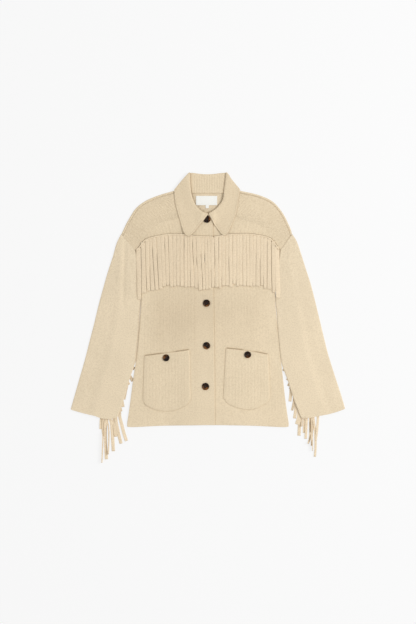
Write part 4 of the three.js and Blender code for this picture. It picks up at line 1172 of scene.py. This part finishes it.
def section():
    """Outline of a flat strip with round sides: shares of half its width and thickness."""
    angles = np.linspace(0, 2 * np.pi, SECTION_SIDES, endpoint=False) + np.pi / SECTION_SIDES
    across = np.sign(np.cos(angles)) * np.abs(np.cos(angles)) ** 0.55
    rise = np.sign(np.sin(angles)) * np.abs(np.sin(angles)) ** 0.8
    return across, rise


def strand(path, width, thickness, turn=0.0, shade=0.0):
    """Vertices, faces, knitting places and shade of one strand along a path of points."""
    way = np.gradient(path[:, :2], axis=0)
    way /= np.linalg.norm(way, axis=1)[:, None]
    sideways = np.column_stack([-way[:, 1], way[:, 0]])
    half_width, half_thick, turn, shade = (
        np.broadcast_to(v, len(path))[:, None] for v in
        (np.asarray(width) / 2, np.asarray(thickness) / 2, turn, shade))
    across, rise = section()
    across, rise = across[None] * half_width, rise[None] * half_thick
    flat = across * np.cos(turn) - rise * np.sin(turn)
    up = across * np.sin(turn) + rise * np.cos(turn)
    xy = path[:, None, :2] + sideways[:, None] * flat[..., None]
    rings = np.concatenate([xy, (path[:, 2:3] + up)[..., None]], axis=-1)
    steps, sides = rings.shape[:2]
    at = np.arange(steps * sides).reshape(steps, sides)
    after = np.roll(at, -1, axis=1)
    walls = np.stack([at[:-1], after[:-1], after[1:], at[1:]], -1).reshape(-1, 4)
    caps = []
    for order in (at[0, ::-1], at[-1]):
        caps += [[order[0], order[k], order[k + 1], order[k + 2]] for k in range(1, sides - 2, 2)]
    reach = np.concatenate([[0], np.cumsum(np.linalg.norm(np.diff(path, axis=0), axis=1))])
    knit = np.stack(np.broadcast_arrays(across + 20, -reach[:, None], 0.0), -1)
    shade_and_tone = np.broadcast_to(shade, across.shape)
    return (rings.reshape(-1, 3), np.concatenate([walls, caps]), knit.reshape(-1, 3),
            shade_and_tone.ravel())


def gather(name, strands):
    """Several strands in one object."""
    starts = np.cumsum([0] + [len(part[0]) for part in strands])
    faces = np.concatenate([part[1] + start for part, start in zip(strands, starts)])
    vertices, knit, shade_and_tone = (np.concatenate([part[k] for part in strands]) for k in (0, 2, 3))
    return to_object(name, vertices, faces, knit, shade_and_tone)


print("a strand's section has", SECTION_SIDES, "sides")

# %% [markdown]
# ## The fringe of the yoke seam
#
# The strands are cut from one knitted strip that is sewn under the yoke, so its uncut top edge
# shows as a narrow band along the seam. Below it the strands lie side by side and slits open
# between some of them, for a part of their length. Each row of the table is the line between
# two strands: its x at the seam and at the ends, where its slit opens and closes, how wide the
# slit is, and how low the strand to the left of it reaches. The random numbers are seeded, so
# every run gives the same fringe.

# %% Fringe of the yoke seam
SPLIT_COLUMNS = "seam_x end_x slit_top slit_foot slit left_end"
YOKE_FRINGE = {
    "left": columns(SPLIT_COLUMNS, [
        [-206.5, -203.9, 0, 0, 0.0, 50], [-193.7, -192.3, 208, 17, 1.7, 50],
        [-180.7, -176.6, 127, 60, 1.1, 69], [-169.1, -165.9, 153, 70, 1.1, 79],
        [-161.5, -152.5, 208, 70, 1.5, 79], [-149.1, -141.5, 189, 76, 1.5, 83],
        [-136.9, -130.2, 0, 0, 0.0, 82], [-125.0, -120.1, 224, 193, 1.4, 89],
        [-113.7, -109.3, 135, 80, 0.6, 92], [-102.7, -99.2, 0, 0, 0.0, 86],
        [-91.6, -89.9, 124, 80, 0.8, 92], [-80.0, -79.5, 112, 80, 1.0, 91],
        [-67.6, -67.6, 228, 191, 1.3, 92], [-58.9, -58.6, 138, 80, 0.4, 90],
        [-51.6, -49.6, 147, 80, 1.0, 89], [-45.5, -38.3, 228, 153, 1.4, 86],
        [-34.2, -27.3, 228, 191, 0.8, 86], [-20.9, -14.2, 130, 70, 1.2, 82],
        [-9.0, -6.4, 191, 156, 1.8, 83], [-1.2, 2.9, 228, 202, 1.0, 83],
        [9.0, 11.6, 0, 0, 0.0, 85], [18.6, 20.7, 122, 94, 0.8, 85]]),
    "right": columns(SPLIT_COLUMNS, [
        [19.0, 21.1, 122, 94, 0.8, 86], [31.6, 32.5, 237, 162, 1.0, 86],
        [40.6, 40.6, 124, 80, 1.0, 87], [50.2, 50.5, 0, 0, 0.0, 90],
        [61.5, 62.1, 182, 80, 1.5, 91], [72.5, 72.8, 115, 80, 1.3, 91],
        [82.4, 82.6, 0, 0, 0.0, 94], [91.1, 91.6, 0, 0, 0.0, 92],
        [101.5, 101.8, 101, 80, 0.8, 93], [112.2, 111.9, 205, 193, 1.3, 93],
        [121.8, 121.2, 0, 0, 0.0, 91], [131.1, 129.9, 162, 124, 0.4, 92],
        [141.5, 139.2, 193, 80, 1.0, 92], [152.3, 152.3, 176, 80, 1.3, 93],
        [161.5, 161.8, 127, 80, 1.1, 94], [172.3, 171.7, 225, 70, 1.4, 83],
        [183.9, 186.2, 225, 60, 1.8, 83], [194.3, 196.6, 0, 0, 0.0, 72],
        [207.1, 210.5, 0, 0, 0.0, 57]]),
}
MEAN_END_Y = 88                # height of the fringe's ends on average
SLIT_SHARE = 0.8               # a slit looks wider than it is, because its walls are in shade
STRAND_THICKNESS = 1.8
STRAND_LAP = 0.3               # how far neighbours lie over the line between them
END_SLIT = 1.5                 # most that strands spread apart at their ends
END_SLIT_LENGTH = 26
STRAND_LIFT = 0.25
STRAND_STEPS = 44
HEADER_HEIGHT = 4.2            # the strip's uncut top edge
HEADER_THICKNESS = 2.3
HEADER_TILT = -0.25            # its top edge dives under the yoke
FRINGE_SEED = 7
OUTER_STRAND = 197             # a strand that reaches this x hangs over the body's side
OUTER_TILT = {"left": 0.06, "right": -0.2}    # radians
# painted shade: the left fringe, away from the lamp, is a little darker
FRINGE_SIDE_SHADE = {"left": 0.06, "right": 0.0}


def fringe_rest(x, y):
    """Height of what the yoke's fringe lies on."""
    on_button = mound(x, y, BUTTONS[1], BUTTON_THICKNESS + GAP, 12, 30)
    on_stand = overlap(x) * (1 - step_between(x - placket_right(y), 4, 36))
    return front_face(x, y) + on_stand + on_button + GAP


def split_line(split, y, seam_y, sway):
    """x of the line between two strands, and half the width of its slit, at heights y."""
    t = np.clip((seam_y - y) / (seam_y - MEAN_END_Y), 0, 1.6)
    x = split["seam_x"] + (split["end_x"] - split["seam_x"]) * t ** 1.1
    x = x + sway[0] * np.sin(np.pi * t) + sway[1] * np.sin(2.3 * np.pi * t + sway[2])
    opened = (1 - step_between(y, split["slit_top"] - 14, split["slit_top"] + 3)) \
        * step_between(y, split["slit_foot"] - 6, split["slit_foot"] + 12)
    spread = sway[3] * (1 - step_between(y, split["left_end"], split["left_end"] + END_SLIT_LENGTH))
    return x, np.maximum(SLIT_SHARE * split["slit"] * opened, spread) / 2


def make_yoke_fringe(name):
    chance = np.random.RandomState(FRINGE_SEED + (name == "right"))
    seam = YOKE_SEAM_LEFT if name == "left" else YOKE_SEAM_RIGHT
    table = YOKE_FRINGE[name]
    splits = [dict(zip(table, row)) for row in zip(*table.values())]
    sways = [(chance.uniform(-0.6, 0.6), chance.uniform(-0.3, 0.3), chance.uniform(0, 6),
              chance.uniform(0, END_SLIT)) for _ in splits]
    strands = []
    for n in range(1, len(splits)):
        middle = (splits[n - 1]["seam_x"] + splits[n]["seam_x"]) / 2
        seam_y = np.interp(middle, seam[:, 0], seam[:, 1]) - YOKE_SEAM_GAP
        foot = splits[n]["left_end"] + chance.uniform(-3.2, 3.2)
        y = np.linspace(seam_y - 2, foot, STRAND_STEPS)
        left, left_slit = split_line(splits[n - 1], y, seam_y, sways[n - 1])
        right, right_slit = split_line(splits[n], y, seam_y, sways[n])
        left, right = left + left_slit - STRAND_LAP, right - right_slit + STRAND_LAP
        t = np.linspace(0, 1, STRAND_STEPS)
        x = (left + right) / 2
        z = np.maximum(fringe_rest(x - 3, y), fringe_rest(x + 3, y)) + STRAND_THICKNESS / 2
        z = z + STRAND_LIFT + (n % 2) * 0.16 + 0.12 * np.sin(4 * t + chance.uniform(0, 6))
        thick = STRAND_THICKNESS * (1 - 0.25 * step_between(t, 0.97, 1.0))
        tilt = chance.uniform(-0.07, 0.07) + 0.04 * np.sin(5 * t + chance.uniform(0, 6))
        width = (right - left) * (1 - 0.22 * step_between(t, 0.975, 1.0) - 0.03 * chance.rand())
        tone = FRINGE_SIDE_SHADE[name]
        if max(abs(x)) > OUTER_STRAND:
            tilt = tilt + OUTER_TILT[name]
            z = z - 0.6
            width = width + 0.8
            tone = 0.0
        strands.append(strand(np.column_stack([x, y, z]), width, thick, tilt, tone))
    return strands


def make_header(name):
    """The uncut edge of the fringe strip, along the yoke seam."""
    seam = YOKE_SEAM_LEFT if name == "left" else YOKE_SEAM_RIGHT
    table = YOKE_FRINGE[name]
    middle = line(beside(seam, 0.3 + HEADER_HEIGHT / 2))
    path = middle(np.linspace(0, 1, 110))
    inside = (path[:, 0] > table["seam_x"][0] - 1.5) & (path[:, 0] < table["seam_x"][-1] - 0.5)
    path = path[inside]
    z = fringe_rest(path[:, 0], path[:, 1]) + HEADER_THICKNESS / 2 + STRAND_LIFT + 0.2
    return strand(np.column_stack([path, z]), HEADER_HEIGHT, HEADER_THICKNESS, HEADER_TILT)


fringe_pieces = {}
for name in ("left", "right"):
    strands = make_yoke_fringe(name)
    made = gather(f"{name}_yoke_fringe", strands + [make_header(name)])
    fringe_pieces[name] = dress(made, [f"fringe_front_{name}"], fringe_knit)
    print(name, "yoke fringe:", len(strands), "strands")

# %% [markdown]
# ## The fringe of the sleeves
#
# This fringe is sewn into the back seam of each sleeve, so most of it lies under the sleeve.
# Only its ends peep out past the inner fold and below the cuff, and these are drawn one by one:
# the points and widths that a strand shows. A strand that looks very narrow fell on its edge, so
# it is turned by the angle that gives this width; the others tilt a little at most. Under the
# sleeve every strand lies flat.

# %% Fringe of the sleeves
SLEEVE_FRINGE = {
    "left": {
        "seam": ((-214, 2), (-302, -281)),
        "strands": [           # place along the seam, shade, points with the width seen there
            (0.02, 0.75, [(-228, -138, 9.6), (-211.5, -148, 9.6)]),
            (0.09, 0.6, [(-229, -160, 9.6), (-216.5, -184, 9.6)]),
            (0.15, 0, [(-234, -178, 7.5), (-227, -194, 5.8)]),
            (0.22, 0.1, [(-234, -198, 7.5), (-238, -215, 7.0)]),
            (0.29, 0.1, [(-238, -215, 7.5), (-242, -237, 7.0)]),
            (0.36, 0, [(-249, -233, 8.7), (-245, -259, 8.7)]),
            (0.4, 0.1, [(-256, -250, 8.7), (-251, -272, 8.1)]),
            (0.42, 0.1, [(-258, -256, 8.7), (-254, -280, 8.1)]),
            (0.46, 0, [(-255, -284, 8.7), (-249, -309, 8.7), (-242, -336, 8.7),
                       (-235, -357, 8.4)]),
            (0.52, 0, [(-266, -292, 9.0), (-260, -327, 9.0), (-251, -365, 9.0)]),
            (0.57, 0.15, [(-271, -297, 8.7), (-266, -345, 8.7)]),
            (0.66, 0, [(-284, -288, 8.7), (-279, -303, 8.7), (-276, -336, 8.7),
                       (-273, -387, 9.0)]),
            (0.72, 0.2, [(-291, -297, 5.8), (-287, -317, 3.2), (-286, -356, 2.9),
                         (-288, -396, 2.9)]),
            (0.78, 0, [(-294, -291, 8.7), (-296, -317, 7.8), (-296, -356, 7.5),
                       (-293, -410, 8.4)]),
            (0.84, 0, [(-302, -311, 2.9), (-303, -346, 2.3), (-306, -420, 2.0)]),
            (0.9, 0.3, [(-301, -285, 7.0), (-304, -317, 6.4), (-302, -344, 5.5)]),
            (0.96, 0, [(-307, -285, 7.0), (-310, -323, 6.7)]),
        ],
    },
    "right": {
        "seam": ((216, 2), (316, -281)),
        "strands": [
            (0.02, 0.4, [(227, -140, 6.4), (219, -154, 5.8)]),
            (0.09, 0.35, [(236, -169, 7.0), (230, -181, 5.8)]),
            (0.14, 0.2, [(239, -186, 7.0), (233, -198, 6.4)]),
            (0.17, 0.4, [(243, -197, 7.0), (238, -207, 5.8)]),
            (0.24, 0, [(242, -210, 8.7), (239, -243, 8.7)]),
            (0.32, 0.45, [(251, -239, 7.5), (245, -269, 6.4)]),
            (0.4, 0, [(256, -259, 8.7), (252, -292, 8.7)]),
            (0.46, 0, [(264, -285, 9.0), (258, -309, 9.0)]),
            (0.53, 0, [(267, -291, 9.0), (265, -342, 9.0)]),
            (0.58, 0.25, [(274, -291, 4.6), (273, -315, 4.1)]),
            (0.64, 0.1, [(280, -288, 5.8), (279, -334, 5.5)]),
            (0.7, 0, [(287, -285, 7.0), (284, -351, 6.7)]),
            (0.76, 0.1, [(296, -285, 5.8), (296, -350, 5.2), (291, -365, 4.6)]),
            (0.81, 0.3, [(301, -282, 4.1), (301, -331, 3.2)]),
            (0.85, 0.2, [(301, -326, 4.1), (301, -371, 4.6)]),
            (0.88, 0.1, [(304, -340, 2.6), (304, -385, 2.0)]),
            (0.92, 0.1, [(307, -288, 5.8), (312, -336, 6.1), (313, -375, 6.1), (311, -403, 6.1)]),
            (0.97, 0, [(319, -282, 7.0), (318, -317, 6.7), (314, -356, 5.2)]),
        ],
    },
}
SLEEVE_STRAND = (9.6, 0.8)     # a strand's width and its thickness where the sleeve presses it
FREE_THICKNESS = 1.7           # and its thickness where it lies free
SLEEVE_STRAND_FLOOR = 0.35
CROSSING_LIFT = 0.95           # every second strand lies over its neighbours under the sleeve
CUFF_Y = -262                  # a short strand that shows above this lies flat under the sleeve
STRAND_SHADE = 0.6             # the darkest shade of a strand, where the table says 1
NARROW_STRAND = 4.8            # a strand seen narrower than this stands on its edge
MOST_TILT = 0.35               # radians, for all wider ones
WIDTH_SHARE = 1.07             # round sides make a strand look narrower than it is


def make_sleeve_fringe(name):
    top, bottom = np.array(SLEEVE_FRINGE[name]["seam"], float)
    strands = []
    for n, (along, shade, shown) in enumerate(SLEEVE_FRINGE[name]["strands"]):
        shown = np.array(shown, float)
        root = top + (bottom - top) * along
        bend = root + (shown[0, :2] - root) * (0.3, 0.5)
        points = np.concatenate([[root, bend], shown[:, :2]])
        xy = line(points)(np.linspace(0, 1, 48))
        widths = np.concatenate([[SLEEVE_STRAND[0]] * 2, shown[:, 2]])
        ordered = points[:, 1][::-1]
        width = np.interp(xy[:, 1], ordered, widths[::-1])
        free = 1 - step_between(xy[:, 1], shown[0, 1] - 22, shown[0, 1] - 2)
        if len(shown) == 2 and shown[0, 1] > CUFF_Y:
            free = free * 0
        width = width * np.where(width > NARROW_STRAND, WIDTH_SHARE, 1.0)
        turn = np.arccos(np.clip(width / SLEEVE_STRAND[0], 0.05, 1)) * free
        turn = np.where(width > NARROW_STRAND, np.minimum(turn, MOST_TILT), turn)
        thick = SLEEVE_STRAND[1] + (FREE_THICKNESS - SLEEVE_STRAND[1]) * free
        drawn = np.minimum(SLEEVE_STRAND[0], width / np.cos(turn))
        z = SLEEVE_STRAND_FLOOR + thick / 2 * np.cos(turn) + drawn / 2 * np.sin(turn)
        z = z + (n % 2) * CROSSING_LIFT * (1 - 0.8 * free)
        strands.append(strand(np.column_stack([xy, z]), drawn, thick, -turn,
                              shade * STRAND_SHADE))
    return gather(f"{name}_sleeve_fringe", strands)


for name in ("left", "right"):
    made = make_sleeve_fringe(name)
    fringe_pieces[f"sleeve_{name}"] = dress(made, [f"fringe_sleeve_{name}"],
                                            fringe_knit)
print("sleeve fringe:", len(fringe_pieces["sleeve_left"].data.polygons), "faces on the left")

# %% [markdown]
# ## Buttons
#
# A horn button is turned on a lathe: a rolled rim, a dished middle and four holes. The profile
# is turned here in the same way, with finer steps round the rim. The holes are sunk by pulling
# nearby points down, and two crossed stitches of thread fill them.

# %% Buttons
PROFILE = np.array([[0, 1.9], [1.2, 1.9], [2.2, 1.9], [3.4, 1.92], [5.2, 1.97], [7.0, 2.1],
                    [7.8, 2.45], [8.5, 2.72], [9.1, 2.8], [9.7, 2.68], [10.2, 2.3], [10.5, 1.7],
                    [10.45, 1.1], [10.0, 0.5], [9.2, 0.08], [6, 0], [0, 0]])
HOLE_OFFSET = 2.0
HOLE_RADIUS = 1.0
HOLE_DEPTH = 1.2
FACE_FOOT = 1.2                # a hole pulls down only what stands higher than this
TURNS = 48
AMBER_GLOW_SIDE = {                      # by how many radians the painted amber glow is turned, and how far moved out
    "button_1": (1.2, 0.3), "button_pocket_left": (-2.2, 0.0), "button_pocket_right": (0.5, 0.0)}
POCKET_BUTTON_SCALE = 0.95     # the pocket buttons look slightly smaller than the front's


def turned_button(name, place, height, number):
    """A button turned from its profile, with four holes."""
    fine = line(PROFILE, corners=(1, 5, 14, 15))(np.linspace(0, 1, 70))
    fine[:, 0] *= POCKET_BUTTON_SCALE if "pocket" in name else 1.0
    inner = fine[fine[:, 0] > 1e-3]
    angles = np.linspace(0, 2 * np.pi, TURNS, endpoint=False)
    x = inner[:, None, 0] * np.cos(angles)
    y = inner[:, None, 0] * np.sin(angles)
    z = np.broadcast_to(inner[:, None, 1], x.shape).copy()
    for sx in (-1, 1):
        for sy in (-1, 1):
            near = np.hypot(x - sx * HOLE_OFFSET, y - sy * HOLE_OFFSET)
            sunk = 1 - step_between(near, HOLE_RADIUS * 0.75, HOLE_RADIUS * 1.15)
            z -= HOLE_DEPTH * sunk * (z > FACE_FOOT)
    rings = np.stack([x + place[0], y + place[1], z + height], -1)
    steps, around = x.shape
    at = np.arange(steps * around).reshape(steps, around)
    after = np.roll(at, -1, axis=1)
    walls = np.stack([at[:-1], at[1:], after[1:], after[:-1]], -1).reshape(-1, 4)
    poles = np.array([[place[0], place[1], fine[0, 1] + height],
                      [place[0], place[1], fine[-1, 1] + height]])
    top, foot = steps * around, steps * around + 1
    faces = walls.tolist() + [[top, a, b] for a, b in zip(at[0], after[0])] \
        + [[foot, b, a] for a, b in zip(at[-1], after[-1])]
    vertices = np.concatenate([rings.reshape(-1, 3), poles])
    local = (vertices - [place[0], place[1], height]) / BUTTON_RADIUS
    turn, outward = AMBER_GLOW_SIDE.get(name.replace("horn_", ""), (0.0, 0.0))
    knit = np.column_stack([local[:, 0] * np.cos(turn) + local[:, 1] * np.sin(turn),
                            local[:, 1] * np.cos(turn) - local[:, 0] * np.sin(turn) + outward,
                            local[:, 2] + 3.7 * number])
    mesh = bpy.data.meshes.new(name)
    mesh.from_pydata((vertices * MM).tolist(), [], faces)
    mesh.shade_smooth()
    mesh.attributes.new("knit", "FLOAT_VECTOR", "POINT").data.foreach_set(
        "vector", knit.astype(np.float32).ravel())
    made = bpy.data.objects.new(name, mesh)
    bpy.context.scene.collection.objects.link(made)
    return made


def crossed_thread(name, place, height):
    """Two bars of thread over the holes, standing slightly off the button's face."""
    bars = []
    t = np.linspace(0, 1, 9)
    for sx, sy in ((1, 1), (1, -1)):
        for shift in (-0.35, 0.35):
            x = place[0] + sx * HOLE_OFFSET * (2 * t - 1) + shift * 0.7
            y = place[1] + sy * HOLE_OFFSET * (2 * t - 1) - shift * 0.7 * sx * sy
            z = height + 1.5 + 0.75 * np.sin(np.pi * t) ** 0.6 + 0.12 * (sy < 0)
            bars.append(strand(np.column_stack([x, y, z]), 0.75, 0.6))
    return gather(name, bars)


button_places = [(f"button_{n + 1}", tuple(place)) for n, place in enumerate(BUTTONS)]
button_places += [(f"button_pocket_{name}", place) for name, place in POCKET_BUTTONS.items()]
for number, (node, place) in enumerate(button_places):
    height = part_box(node)[0].z / MM
    button = turned_button(f"horn_{node}", place, height, number)
    dress(button, [node], horn_button)
    stitches = crossed_thread(f"thread_{node}", place, height)
    dress(stitches, [], button_thread)
print(len(button_places), "buttons")

# %% [markdown]
# ## The label
#
# A woven label is a strip of tape with its ends folded under and sewn down at the sides. Its
# face stays bare here. The small tab for the size hangs from the label's lower edge.

# %% The label
LABEL = (-34, 28, 326, 353)    # left right bottom top
SIZE_TAB = (-6, 3.4, 317, 326.4)
TAPE = 0.6
STITCH_INSET = 1.2             # from the label's ends
STITCH_PITCH = 2.6


def make_tape(name, node, bounds, lift, sag):
    """A slightly wavy tape, thicker where its ends are folded under."""
    left, right, bottom, top = bounds
    us, vs = stations(right - left, 1.5, RIM[:3]), stations(top - bottom, 1.5, RIM[:3])
    grid = patch(line([[left, bottom], [right, bottom]]), line([[left, top], [right, top]]),
                 line([[left, bottom], [left, top]]), line([[right, bottom], [right, top]]),
                 us, vs)
    edge = roundness(grid, (0.5, 0.5, 0.5, 0.5))
    wave = sag * np.sin(3.3 * us)[None, :] * np.sin(2.2 * vs + 0.4)[:, None]
    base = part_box(node)[0].z / MM + lift + wave
    folded = 0.25 * (np.minimum(us, 1 - us) * (right - left) < 5.5)[None, :] * edge
    made = shell(name, grid, base + TAPE * (0.5 + 0.5 * edge) + folded,
                 base + TAPE * (0.5 - 0.5 * edge))
    return dress(made, [node], label_tape)


neck_label = make_tape("neck_label", "label", LABEL, 0.05, 0.25)
size_tape = make_tape("size_tape", "size_tab", SIZE_TAB, 0.0, 0.1)
seam_stitches = []
for end in (LABEL[0] + STITCH_INSET, LABEL[1] - STITCH_INSET):
    for row in np.arange(LABEL[2] + 1.5, LABEL[3] - 2, STITCH_PITCH):
        path = np.column_stack([np.full(4, end), row + np.linspace(0, 1.7, 4),
                                WALL + GAP + TAPE + np.array([0.2, 0.45, 0.45, 0.2])])
        seam_stitches.append(strand(path, 0.35, 0.3))
dress(gather("label_stitches", seam_stitches), [], label_thread)
print("label sewn with", len(seam_stitches), "stitches")

# %% [markdown]
# ## What the sleeves were cut as
#
# A panel that lies flat was cut to its own outline, and a sleeve was cut all round, twice its
# flat width. The size each sleeve was cut to is printed.

# %% The sleeves' cut sizes
for tube, length, width, fringe in (
        (left_sleeve, left_sleeve_length, left_sleeve_width, fringe_pieces["sleeve_left"]),
        (right_sleeve, right_sleeve_length, right_sleeve_width, fringe_pieces["sleeve_right"])):
    print(tube.name, "cut", round(2 * width * MM, 3), "by", round(length * MM, 3), "m")
